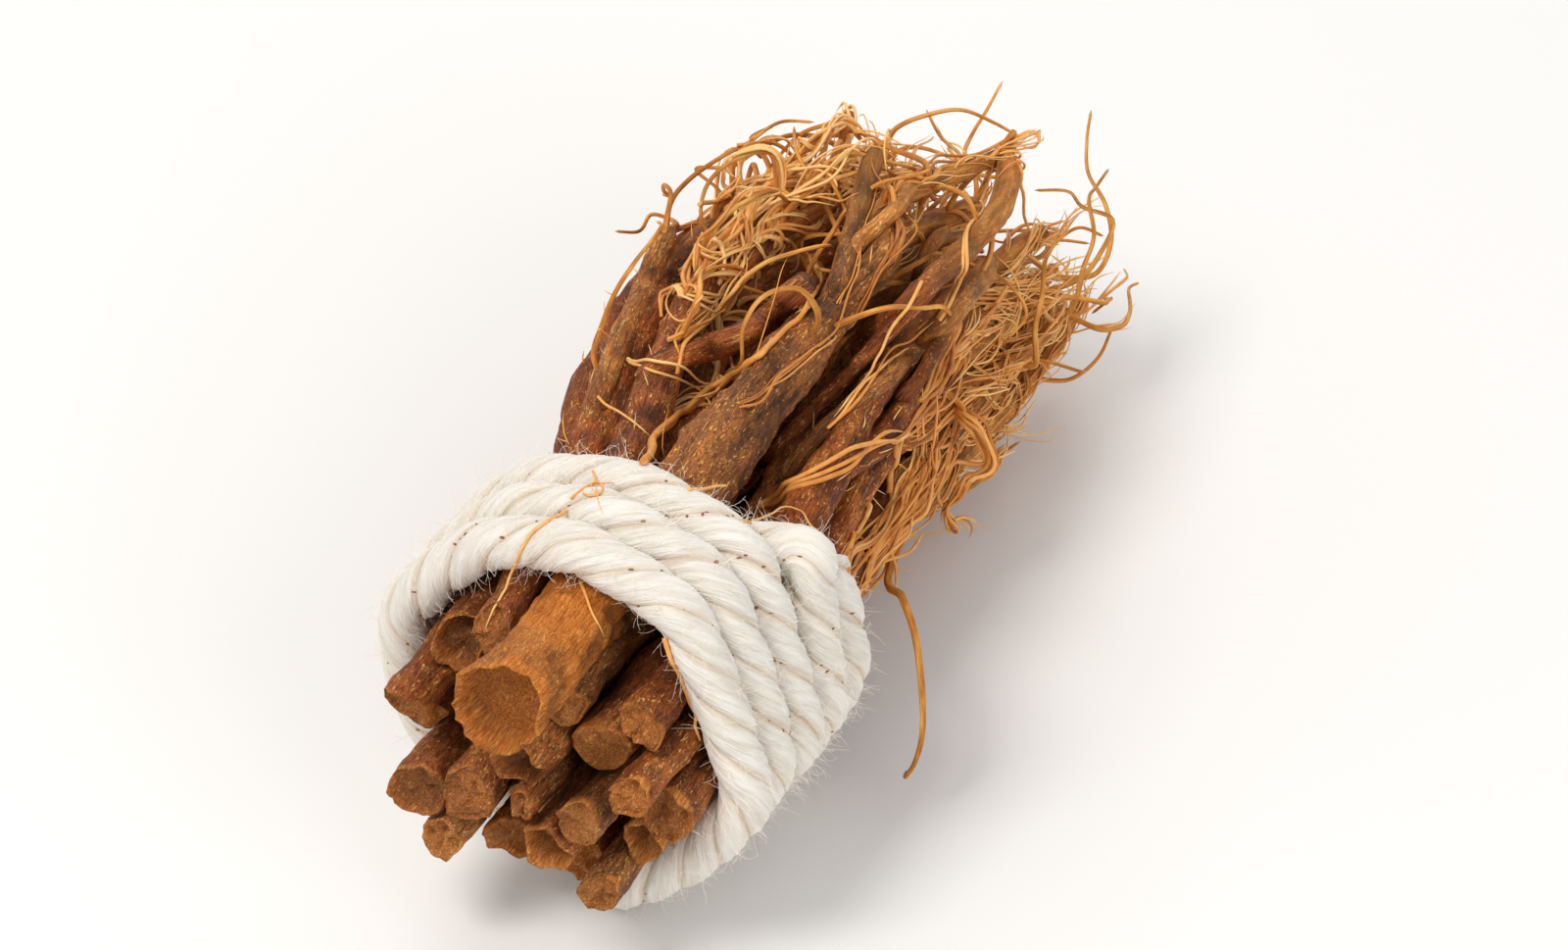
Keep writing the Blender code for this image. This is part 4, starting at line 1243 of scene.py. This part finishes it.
def hairBeside(rng, tree, leader, thick, spread):  # another hair that follows the first one loosely
    n = len(leader)
    last = max(3, int(n * rng.uniform(0.6, 1.0)))
    knots = np.arange(0, n + 20, 10)
    drift = [np.interp(np.arange(n), knots, rng.normal(size=len(knots))) for _ in range(3)]
    drift = np.stack(drift, axis=1)
    path = leader + drift * spread * np.clip(np.arange(n) / 5, 0.2, 1)[:, None]
    for i in range(1, n):
        path[i], _ = offSurface(tree, path[i], drift[i], thick, 1, 0)
    path = np.clip(path, lowCorner + hairSet["floor"], highCorner + hairSet["past"])
    return path[:last]


def eased(path, rounds):  # small kinks taken out, the ends kept
    for _ in range(rounds):
        path[1:-1] = 0.5 * path[1:-1] + 0.25 * (path[:-2] + path[2:])
    return path


class Lines:  # gathers polylines into one mesh of edges, to be swept by Geometry Nodes
    def __init__(self):
        self.places, self.edges, self.count = [], [], 0
        self.values = {"thick": [], "tone": [], "along": []}

    def add(self, path, thick, tone):
        n = len(path)
        self.places.append(path)
        self.edges.append(np.stack([np.arange(n - 1), np.arange(1, n)], axis=1) + self.count)
        self.values["thick"].append(thick)
        self.values["tone"].append(np.full(n, tone))
        self.values["along"].append(np.linspace(0, 1, n))
        self.count += n

    def sweep(self, name, material, sides):
        mesh = bpy.data.meshes.new(name)
        mesh.vertices.add(self.count)
        mesh.vertices.foreach_set("co", np.vstack(self.places).astype(np.float32).ravel())
        edges = np.vstack(self.edges)
        mesh.edges.add(len(edges))
        mesh.edges.foreach_set("vertices", edges.astype(np.int32).ravel())
        addValues(mesh, self.values)
        source = linkPiece(name, mesh)
        applyTree(source, sweepTree, {"Sides": sides, "Thickness": 1.0, "Material": material})
        source.data.name = name
        return source


def newTree(name, inputs):
    tree = bpy.data.node_groups.new(name, "GeometryNodeTree")
    for key, kind in {"Geometry": "Geometry", **inputs}.items():
        tree.interface.new_socket(key, in_out="INPUT", socket_type="NodeSocket" + kind)
    tree.interface.new_socket("Geometry", in_out="OUTPUT", socket_type="NodeSocketGeometry")
    return tree, addNode(tree, "NodeGroupInput").outputs


def endTree(tree, shape, material):
    real = addNode(tree, "GeometryNodeRealizeInstances", links={0: shape})
    finish = addNode(tree, "GeometryNodeSetMaterial", links={0: real.outputs[0], "Material": material})
    addNode(tree, "NodeGroupOutput", links={0: finish.outputs[0]})


def applyTree(piece, tree, values):  # the piece becomes the plain mesh that the tree makes of it
    modifier = piece.modifiers.new(tree.name, "NODES")
    modifier.node_group = tree
    inputs = {item.name: item.identifier for item in tree.interface.items_tree if item.in_out == "INPUT"}
    for key, value in values.items():
        modifier[inputs[key]] = value
    plain = bpy.data.meshes.new_from_object(piece.evaluated_get(bpy.context.evaluated_depsgraph_get()))
    piece.modifiers.clear()
    piece.data = plain


def makeSweepTree():  # a round section carried along every line, as thick as the line says
    tree, given = newTree("rootlet_sweep", {"Sides": "Int", "Thickness": "Float", "Material": "Material"})
    curve = addNode(tree, "GeometryNodeMeshToCurve", links={"Mesh": given["Geometry"]})
    thick = addNode(tree, "GeometryNodeInputNamedAttribute", {"data_type": "FLOAT"}, {"Name": "thick"})
    links = {0: thick.outputs[0], 1: given["Thickness"]}
    scale = addNode(tree, "ShaderNodeMath", {"operation": "MULTIPLY"}, links)
    links = {"Resolution": given["Sides"], "Radius": 1.0}
    ring = addNode(tree, "GeometryNodeCurvePrimitiveCircle", links=links)
    links = {"Curve": curve.outputs[0], "Profile Curve": ring.outputs[0], "Scale": scale.outputs[0]}
    swept = addNode(tree, "GeometryNodeCurveToMesh", links=links | {"Fill Caps": True})
    smooth = addNode(tree, "GeometryNodeSetShadeSmooth", links={0: swept.outputs[0]})
    endTree(tree, smooth.outputs[0], given["Material"])
    return tree


def rootletMaterial():
    # Dry root hairs: thin tan skin, paler and yellower towards the tips, matt with a faint woody shine
    material, tree, shader = newMaterial("root_hair")
    tone = addNode(tree, "ShaderNodeAttribute", {"attribute_name": "tone"}).outputs["Fac"]
    along = addNode(tree, "ShaderNodeAttribute", {"attribute_name": "along"}).outputs["Fac"]
    place = addNode(tree, "ShaderNodeTexCoord").outputs["Object"]
    links = {"Vector": place, "Scale": 1 / hairSet["grain"], "Detail": 4.0}
    grain = addNode(tree, "ShaderNodeTexNoise", links=links).outputs[0]
    multiplyAdd = {"operation": "MULTIPLY_ADD"}
    share = addNode(tree, "ShaderNodeMath", multiplyAdd, {0: along, 1: 0.15, 2: tone}).outputs[0]
    share = addNode(tree, "ShaderNodeMath", multiplyAdd, {0: grain, 1: 0.5, 2: share}).outputs[0]
    share = addNode(tree, "ShaderNodeMath", {"operation": "DIVIDE"}, {0: share, 1: 1.4}).outputs[0]
    stops = [*zip((0.22, 0.38, 0.54, 0.7, 0.86), map(linear, hairSet["colours"]))]
    colour = addNode(tree, "ShaderNodeValToRGB", {"stops": stops}, {"Fac": share}).outputs["Color"]
    tree.links.new(colour, shader.inputs["Base Color"])
    links = {"Height": grain, "Distance": hairSet["bump"], "Strength": 0.7}
    tree.links.new(addNode(tree, "ShaderNodeBump", links=links).outputs[0], shader.inputs["Normal"])
    shader.inputs["Roughness"].default_value = 0.6
    return material


sweepTree = makeSweepTree()
rootHair = rootletMaterial()


def hairPieces():
    rng = np.random.default_rng(77)
    rows = seats()
    gathered = {"fringe": Lines(), "tangle": Lines(), "long": Lines()}
    for group, values in hairGroups.items():
        count, beside, along, around, lengths, thicknesses, curl, change, lie, light = values
        lines = gathered["tangle" if group in ("tangle", "nearer", "cover") else "long"]
        lines = gathered["fringe"] if group in ("fringe", "stray", "stub") else lines
        for _ in range(count):
            seat = findSeat(rng, surfaces, rows, along, around, group == "stub")
            if seat is None:
                continue
            thick = rng.uniform(*thicknesses) * mm
            leader = growHair(rng, surfaces, seat, rng.uniform(*lengths) * mm, thick, curl, change, lie)
            crowded = np.mean([onBald(point) for point in leader[::3]]) > hairSet["crowded"]
            if crowded and group not in ("stub", "stray", "between") and rng.random() > hairSet["crossing"]:
                continue
            hairs = [leader]
            for _ in range(beside):
                hairs.append(hairBeside(rng, surfaces, leader, thick, rng.uniform(0.3, 1.3) * mm))
            for line in hairs:
                steps = np.arange(len(line))
                ends = np.minimum(1, (0.5 + np.minimum(steps, steps[::-1])) / 2.5)
                wide = thick * rng.uniform(0.7, 1.1) * np.linspace(1.1, 0.6, len(line)) * ends
                step = (1.6 if curl < hairSet["steady"] else 1.1) * mm
                path, radius = smoothPath(eased(line, 3), wide, step)
                lines.add(path, radius, float(np.clip(rng.normal(light, 0.16), 0.05, 0.95)))
    pieces = []
    for name, lines in gathered.items():
        piece = lines.sweep("root_hairs_" + name, rootHair, hairSet["sides"])
        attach(piece, "root")
        pieces.append(piece)
    return pieces


# Side roots and rootlets laid over the others where the front shows them best

viewSet = {"azimuth": -60.6, "elevation": 37.6}  # the photograph's own viewing angle, in degrees

laidSet = {
    "above": 220 * mm,  # where the view's rays start
    "slack": 0.9 * mm,
    "rootSink": 0.35,  # how deep a side root lies in what is under it, in parts of its half thickness
    "rootEnd": 3 * mm,
    "strandTaut": 12,
    "strandSpread": 0.8 * mm,
    "past": 0.5 * mm,  # how far a strand may pass the solids' box
    "roots": [  # bark, half thickness in mm, how taut it is over gaps, and places as for the strands
        ("bark_dark", 2.1, 30, [
            (2.4, 42.6), (4.8, 44.4), (9.6, 46.3), (14.4, 47.7), (18.8, 49.5), (22.5, 52.5), (26.1, 55.8),
            (29.1, 58.5),
        ]),
        ("bark_grey", 1.7, 30, [
            (31.5, 54.6), (33.0, 58.5), (34.5, 63.6), (36.0, 69.6), (38.1, 77.1), (39.9, 81.6),
        ]),
        ("bark_tan", 1.9, 30, [
            (-4.5, 36.3), (-3.0, 40.8), (-0.9, 46.5), (1.8, 52.8), (4.5, 59.7), (7.2, 65.7), (10.5, 70.5),
        ]),
        ("bark_reddish", 2.0, 500, [
            (36.0, 45.5), (37.1, 49.4), (41.3, 51.9), (45.9, 56.9), (50.1, 60.7), (53.5, 64.1),
            (56.5, 67.5), (58.6, 72.5), (59.2, 78.0),
        ]),
        ("bark_tan", 1.9, 500, [(44.5, 47.5), (48.9, 51.9), (51.8, 55.3), (54.3, 58.2), (56.6, 61.4)]),
        ("bark_reddish", 1.2, 500, [
            (43.6, 55.0), (45.1, 59.1), (46.2, 62.4), (48.0, 64.9), (51.0, 67.5),
        ]),
        ("bark_reddish", 1.2, 500, [
            (40.0, 38.4), (43.0, 40.5), (45.9, 44.7), (47.6, 48.1), (50.1, 51.1),
        ]),
        ("bark_tan", 1.4, 500, [
            (33.6, 60.2), (35.4, 63.3), (38.8, 66.2), (41.3, 68.7), (43.4, 72.1), (44.7, 73.8),
        ]),
        ("bark_reddish", 1.3, 500, [
            (21.0, 29.8), (25.5, 34.6), (29.1, 38.4), (33.3, 42.6), (37.1, 46.8), (40.6, 50.5),
            (44.5, 53.8),
        ]),
        ("bark_tan", 1.4, 500, [
            (23.4, 27.0), (28.0, 32.5), (31.6, 36.3), (35.4, 39.3), (40.0, 42.6), (43.4, 46.4),
            (45.9, 49.0),
        ]),
    ],
    "strands": [
        # half thickness in mm, how light, how many beside it, and its places in mm to the right of
        # the middle of the tie and above it as they are seen from the front
        (0.2, 0.75, 0, [(-6.7, 24.9), (-4.4, 26.5), (-2.8, 27.5), (-0.4, 27.5), (0.0, 26.8)]),
        (0.2, 0.75, 0, [(-3.5, 28.9), (-3.0, 27.0), (-2.7, 24.6), (-1.9, 22.6)]),
        (0.18, 0.7, 0, [
            (-4.8, 25.6), (-3.2, 24.9), (-1.5, 25.9), (-2.2, 27.7), (-4.0, 27.5), (-4.2, 26.3),
            (-3.0, 25.7),
        ]),
        (0.3, 0.72, 0, [
            (-7.2, 23.0), (-9.0, 21.6), (-11.0, 21.2), (-12.8, 19.2), (-14.2, 16.4), (-15.1, 14.1),
            (-16.2, 11.7), (-17.6, 9.3), (-18.9, 6.7), (-19.3, 5.2),
        ]),
        (0.35, 0.7, 0, [(10.5, 26.1), (13.7, 26.8), (16.9, 27.0), (18.5, 26.1)]),
        (0.3, 0.7, 0, [(-5.2, 12.9), (-4.0, 9.7), (-3.2, 7.6), (-1.7, 4.9)]),
        (0.45, 0.6, 0, [(7.2, 4.8), (8.7, 0.8), (10.2, -3.4), (11.4, -8.1), (11.9, -11.7)]),
        (0.28, 0.5, 0, [
            (38.4, 19.8), (39.8, 17.9), (41.9, 15.1), (41.9, 12.2), (39.9, 10.2), (37.5, 10.9),
        ]),
        (0.28, 0.5, 0, [
            (43.8, 20.1), (43.2, 17.9), (41.9, 15.9), (44.4, 13.9), (46.8, 11.5), (47.4, 8.1),
        ]),
        (0.3, 0.7, 0, [(36.0, 6.0), (37.5, 7.2), (39.3, 8.2)]),
        (0.62, 0.55, 1, [
            (3.8, 30.0), (5.1, 34.1), (8.5, 37.3), (12.8, 40.2), (16.6, 42.5), (20.1, 45.3), (22.3, 47.7),
            (26.7, 52.5), (30.3, 59.1),
        ]),
        (0.3, 0.75, 1, [(0.7, 45.6), (3.2, 44.4), (6.1, 43.2), (9.8, 42.1), (13.9, 41.8), (18.0, 43.8)]),
        (0.28, 0.75, 0, [(-3.4, 40.0), (-2.2, 39.0), (0.5, 37.3), (3.1, 35.2), (4.5, 34.1)]),
        (0.45, 0.5, 2, [
            (20.6, 23.4), (24.2, 25.7), (33.8, 30.3), (38.9, 33.1), (44.7, 34.9), (48.6, 39.9),
        ]),
        (0.22, 0.6, 0, [(18.4, 21.6), (22.4, 23.2), (27.5, 23.8), (28.5, 20.6), (30.1, 18.9)]),
        (0.36, 0.5, 5, [
            (36.1, 11.1), (37.5, 15.9), (40.4, 19.9), (43.6, 24.3), (46.0, 29.5), (45.4, 33.6),
            (45.1, 41.4),
        ]),
        (0.3, 0.55, 4, [
            (33.7, 14.2), (36.0, 18.0), (39.9, 21.9), (42.3, 27.0), (44.4, 32.7), (44.4, 39.9),
        ]),
        (0.3, 0.6, 3, [
            (38.1, 8.4), (39.6, 14.4), (42.6, 19.2), (45.3, 25.2), (48.0, 30.6), (47.8, 38.0),
        ]),
        (0.32, 0.75, 2, [
            (11.5, 69.5), (17.9, 73.6), (25.3, 75.0), (30.8, 74.5), (32.6, 71.7), (30.9, 68.7),
        ]),
        (0.3, 0.75, 2, [
            (12.8, 68.5), (16.1, 71.7), (19.7, 70.8), (18.8, 65.3), (17.0, 59.8), (13.3, 53.3),
            (9.3, 48.9),
        ]),
        (0.3, 0.7, 1, [
            (5.9, 52.0), (5.5, 56.1), (8.7, 57.5), (11.9, 55.2), (11.0, 52.0), (7.8, 51.5), (6.3, 54.0),
            (7.5, 57.3),
        ]),
        (0.32, 0.72, 3, [
            (6.9, 48.3), (11.5, 50.6), (17.0, 56.1), (20.7, 60.7), (24.4, 63.4), (30.8, 66.2),
        ]),
        (0.3, 0.75, 3, [
            (8.7, 58.9), (13.3, 62.5), (17.9, 63.9), (22.5, 68.1), (27.1, 68.1), (30.8, 67.1),
        ]),
        (0.3, 0.75, 2, [(19.7, 74.5), (24.4, 71.7), (27.1, 70.8), (32.6, 69.5), (35.7, 71.1)]),
        (0.26, 0.7, 2, [
            (8.4, 43.5), (9.3, 48.3), (12.9, 51.6), (14.7, 56.7), (17.7, 59.1), (18.9, 62.7),
            (22.8, 64.8),
        ]),
        (0.25, 0.6, 0, [(-7.4, 48.3), (-5.4, 49.8), (-3.3, 50.1), (-1.0, 48.7)]),
        (0.3, 0.55, 1, [(3.9, 70.8), (6.0, 73.5), (10.2, 76.2), (15.9, 78.6), (22.5, 79.8)]),
        (0.5, 0.62, 1, [
            (40.1, 25.4), (41.3, 32.5), (43.8, 36.7), (46.8, 41.8), (50.1, 45.6), (53.5, 49.4),
            (56.0, 53.2), (58.6, 56.9), (61.1, 60.7), (61.9, 62.4),
        ]),
        (0.36, 0.78, 1, [
            (47.6, 51.9), (50.1, 56.5), (51.0, 59.9), (51.8, 64.9), (54.3, 68.3), (56.0, 73.8),
            (56.5, 78.0), (58.1, 80.1),
        ]),
        (0.32, 0.75, 0, [(60.2, 76.7), (60.7, 73.8), (61.3, 68.7), (62.8, 65.4), (64.0, 64.1)]),
        (0.3, 0.75, 0, [
            (45.0, 57.2), (43.0, 53.5), (40.2, 50.2), (38.9, 46.5), (36.4, 42.5), (31.8, 37.0),
        ]),
        (0.28, 0.7, 1, [
            (31.0, 35.5), (34.5, 38.5), (38.0, 42.8), (40.0, 47.0), (44.5, 49.5), (47.0, 51.5),
        ]),
    ],
}


def viewAxes():  # towards the right, upwards and towards the eye, seen from the front
    turned, raised = math.radians(viewSet["azimuth"]), math.radians(viewSet["elevation"])
    level = np.array([math.sin(turned), -math.cos(turned), 0]) * math.cos(raised)
    back = level + np.array([0, 0, math.sin(raised)])
    right = np.array([math.cos(turned), math.sin(turned), 0])
    return right, np.cross(back, right), back


def drape(places, half, lift, taut):  # a path seen from the front, let down onto the roots and the rope
    right, upward, back = viewAxes()
    middle = np.array([0, 0, bundleSet["tieMiddleHeight"]]) - bundleSet["origin"]  # of the tie
    flat = np.array([(u * mm, v * mm, 0) for u, v in places])
    flat, _ = smoothPath(flat, np.full(len(flat), half), 0.8 * mm)
    flat = middle + flat[:, :1] * right + flat[:, 1:2] * upward
    depths = []
    for place in flat:
        eye = Vector(place + back * laidSet["above"])
        hit = surfaces.ray_cast(eye, Vector(-back), 2 * laidSet["above"])
        depths.append(np.nan if hit[0] is None else (np.array(hit[0]) - place).dot(back))
    landed = np.flatnonzero(~np.isnan(depths))
    if len(landed) < 4:
        return None
    flat = flat[landed[0] : landed[-1] + 1]
    ground = np.interp(np.arange(landed[0], landed[-1] + 1), landed, np.array(depths)[landed]) + lift * half
    depth = ground.copy()
    for _ in range(taut):  # pulled straight over the gaps
        depth[1:-1] = np.maximum(ground[1:-1], 0.5 * (depth[:-2] + depth[2:]))
    return eased(flat + depth[:, None] * back, 6)


def laidRoots():  # the side roots' pieces, and their lines with half thicknesses
    pieces, lines = [], []
    for number, (kind, half, taut, places) in enumerate(laidSet["roots"]):
        rng = np.random.default_rng(60 + number)
        path = drape(places, half * mm, -laidSet["rootSink"], taut)[::3]
        run = arcLength(path)
        ends = np.minimum(run, run[-1] - run) / laidSet["rootEnd"]
        wide = half * mm * np.minimum(1, 0.4 + 0.6 * ends)
        lines.append(np.column_stack([path, wide]))
        shell = Shell()
        addRod(shell, rng, number + 5, "fork", path, wide)
        piece = shell.build(f"side_root_{number + 1}", barks[kind])
        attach(piece, "root")
        pieces.append(piece)
    return pieces, np.vstack(lines)


def laidRootlets():  # the strands, each with the hairs beside it
    rng = np.random.default_rng(8)
    back = viewAxes()[2]
    lines = Lines()
    for half, tone, beside, places in laidSet["strands"]:
        path = drape(places, half * mm, 1.0, laidSet["strandTaut"])
        if path is None:
            continue
        wide = np.linspace(1.1, 0.6, len(path)) * half * mm
        for i in range(len(path)):
            path[i], _ = offSurface(surfaces, path[i], back, wide[i], laidSet["slack"], laidSet["slack"])
        path = np.clip(path, lowCorner, highCorner + laidSet["past"])
        hairs = [path]
        for _ in range(beside):
            hairs.append(hairBeside(rng, surfaces, path, half * mm, laidSet["strandSpread"]))
        for line in hairs:
            line = eased(line, 2)
            tip = np.minimum(1, np.arange(len(line), 0, -1) / 5)
            thick = wide[: len(line)] * tip * rng.uniform(0.8, 1.0)
            lines.add(line, thick, float(np.clip(rng.normal(tone, 0.07), 0, 1)))
    piece = lines.sweep("root_hairs_laid", rootHair, 6)
    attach(piece, "root")
    return piece


surfaces = treeOf(rootPieces + [rope])
sideRoots, sideLines = laidRoots()
surfaces = treeOf(rootPieces + sideRoots + [rope])
hairs = hairPieces()
print("hairs made:", sum(len(piece.data.polygons) for piece in hairs), "faces")


# Loose cotton fibres that stand off the rope, and crumbs of bark in its grooves

fuzzSet = {
    "fibres": 5000,
    "thick": 0.03 * mm,
    "step": 0.7 * mm,
    "lengths": (1.4, 4.6),  # in mm
    "clearance": 3 * mm,  # how far off the next thing has to be where a fibre stands
    "bend": 0.45,
    "crumbs": 0.09,  # on a square millimetre of rope
    "crumbSize": 0.24 * mm,
    "smallest": (0.7, 0.5, 0.4),  # parts of that size
    "largest": (2.2, 1.3, 0.9),
    "below": 0.55,  # crumbs lie only where the rope's relief is lower than this
}


def ropeFuzz():
    # Single cotton fibres: nearly white, soft and matt
    rng = np.random.default_rng(12)
    material, _, shader = newMaterial("cotton_fibre")
    shader.inputs["Base Color"].default_value = linear("fff4e5")
    shader.inputs["Roughness"].default_value = 0.85
    lines = Lines()
    rows = ropeSkin[rng.permutation(len(ropeSkin))]
    made = 0
    for row in rows:
        place, out, along = row[:3], row[3:6], row[6:] / (np.linalg.norm(row[6:]) + 1e-9)
        near = surfaces.ray_cast(Vector(place + out * 0.4 * mm), Vector(out), fuzzSet["clearance"])
        if near[0] is not None:
            continue
        heading = along * rng.choice([-1, 1]) * rng.uniform(0.2, 1.2) + out * rng.uniform(0.15, 0.9)
        heading = heading + 0.35 * rng.normal(size=3)
        axis, bend = rng.normal(size=3), rng.normal() * fuzzSet["bend"]
        points = [place - out * 0.15 * mm]
        for _ in range(int(rng.uniform(*fuzzSet["lengths"]) * mm / fuzzSet["step"]) + 1):
            axis += 0.5 * rng.normal(size=3)
            heading = unit(heading) + bend * np.cross(unit(axis), heading)
            points.append(points[-1] + unit(heading) * fuzzSet["step"])
        points = np.array(points)
        points[:, 2] = np.clip(points[:, 2], 0.1 * mm, highCorner[2] + hairSet["past"])
        lines.add(points, np.linspace(1, 0.5, len(points)) * fuzzSet["thick"], 0.5)
        made += 1
        if made == fuzzSet["fibres"]:
            break
    piece = lines.sweep("rope_fuzz", material, 3)
    piece.data.shade_flat()
    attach(piece, "root")
    return piece


def crumbs():
    # Crumbs of dry bark caught in the rope: dull brown grains
    material, _, shader = newMaterial("bark_crumbs")
    shader.inputs["Base Color"].default_value = linear("8a5a30")
    shader.inputs["Roughness"].default_value = 0.8
    tree, given = newTree("rope_crumbs", {"Density": "Float", "Smallest": "Vector", "Largest": "Vector"})
    links = {"Mesh": given["Geometry"], "Density": given["Density"], "Seed": 5}
    spread = addNode(tree, "GeometryNodeDistributePointsOnFaces", links=links)
    relief = addNode(tree, "GeometryNodeInputNamedAttribute", {"data_type": "FLOAT"}, {"Name": "relief"})
    links = {0: relief.outputs[0], 1: fuzzSet["below"]}
    low = addNode(tree, "FunctionNodeCompare", {"operation": "LESS_THAN"}, links)
    links = {0: given["Smallest"], 1: given["Largest"], "Seed": 3}
    scale = addNode(tree, "FunctionNodeRandomValue", {"data_type": "FLOAT_VECTOR"}, links)
    grain = addNode(tree, "GeometryNodeMeshIcoSphere", links={"Radius": 1.0, "Subdivisions": 1})
    links = {"Points": spread.outputs["Points"], "Selection": low.outputs[0], "Instance": grain.outputs[0]}
    links |= {"Rotation": spread.outputs["Rotation"], "Scale": scale.outputs[0]}
    placed = addNode(tree, "GeometryNodeInstanceOnPoints", links=links)
    endTree(tree, placed.outputs[0], material)
    piece = linkPiece("rope_crumbs", rope.data.copy())
    piece.data.materials.clear()
    sizes = {"Smallest": fuzzSet["smallest"], "Largest": fuzzSet["largest"]}
    sizes = {key: [part * fuzzSet["crumbSize"] for part in parts] for key, parts in sizes.items()}
    applyTree(piece, tree, {"Density": fuzzSet["crumbs"] / mm**2, **sizes})
    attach(piece, "root")
    return piece


fuzz = ropeFuzz()
grains = crumbs()
print("rope fuzz and crumbs made:", len(fuzz.data.polygons) + len(grains.data.polygons), "faces")

laid = laidRootlets()
print("laid rootlets made:", len(laid.data.polygons), "faces")


# Floor, lights and camera

studioSet = {
    "floor": 3,  # in metres
    "paper": "efeeec",
    "air": 0.6,  # how bright the light from all round is
    "lights": [  # name, place, size, power, colour
        ("key_light", (-0.75, 0.25, 1.25), 0.55, 10.5, "fffcf8"),
        ("fill_light", (-0.5, -1.1, 0.7), 0.9, 4.5, "fafbff"),
        ("rim_light", (0.9, 0.7, 0.8), 0.6, 4, "fffcf8"),
    ],
    "aim": (0, 0, 0.03),  # where the lights point
    "distance": 1.7,
    "frame": (1600, 969),  # the picture's width and height
    "margin": 1.1,  # how much wider the picture is than the bundle
}


def studio():
    floorMesh = bpy.data.meshes.new("floor")
    work = bmesh.new()
    bmesh.ops.create_grid(work, x_segments=1, y_segments=1, size=studioSet["floor"])
    work.to_mesh(floorMesh)
    work.free()
    floor = linkPiece("floor", floorMesh)
    paper, _, shader = newMaterial("matt_paper")  # smooth white paper, no shine
    shader.inputs["Base Color"].default_value = linear(studioSet["paper"])
    shader.inputs["Roughness"].default_value = 0.9
    shader.inputs["Specular IOR Level"].default_value = 0.2
    floorMesh.materials.append(paper)
    world = bpy.data.worlds.new("studio_air")
    world.use_nodes = True
    air = world.node_tree.nodes["Background"]
    air.inputs["Color"].default_value = linear("ffffff")
    air.inputs["Strength"].default_value = studioSet["air"]
    bpy.context.scene.world = world
    for name, place, size, power, colour in studioSet["lights"]:
        light = bpy.data.lights.new(name, "AREA")
        light.shape = "DISK"
        light.size, light.energy, light.color = size, power, linear(colour)[:3]
        lamp = bpy.data.objects.new(name, light)
        bpy.context.scene.collection.objects.link(lamp)
        lamp.location = place
        aim = Vector(studioSet["aim"]) - Vector(place)
        lamp.rotation_euler = aim.to_track_quat("-Z", "Y").to_euler()


def placeCamera():  # the whole bundle in the middle, as the front shows it
    right, upward, back = viewAxes()
    points = np.vstack([line for rods in roots for _, line, _ in rods] + [ropeLine])
    seen = [points @ axis for axis in (right, upward)]
    low, high = np.array([span.min() for span in seen]), np.array([span.max() for span in seen])
    middle = 0.5 * (low + high)
    size = high - low + 2 * ropeSet["radius"]
    target = right * middle[0] + upward * middle[1] + back * (points @ back).mean()
    camera = bpy.data.cameras.new("camera")
    wide, high = studioSet["frame"]
    across = studioSet["margin"] * max(size[0], size[1] * wide / high)
    camera.lens = camera.sensor_width * studioSet["distance"] / across
    camera.clip_end = 20
    holder = bpy.data.objects.new("camera", camera)
    bpy.context.scene.collection.objects.link(holder)
    holder.location = Vector(target + back * studioSet["distance"])
    holder.rotation_euler = Vector(-back).to_track_quat("-Z", "Y").to_euler()
    bpy.context.scene.camera = holder


studio()
placeCamera()
bpy.context.scene.view_settings.view_transform = "Standard"
print("floor, lights and camera placed")
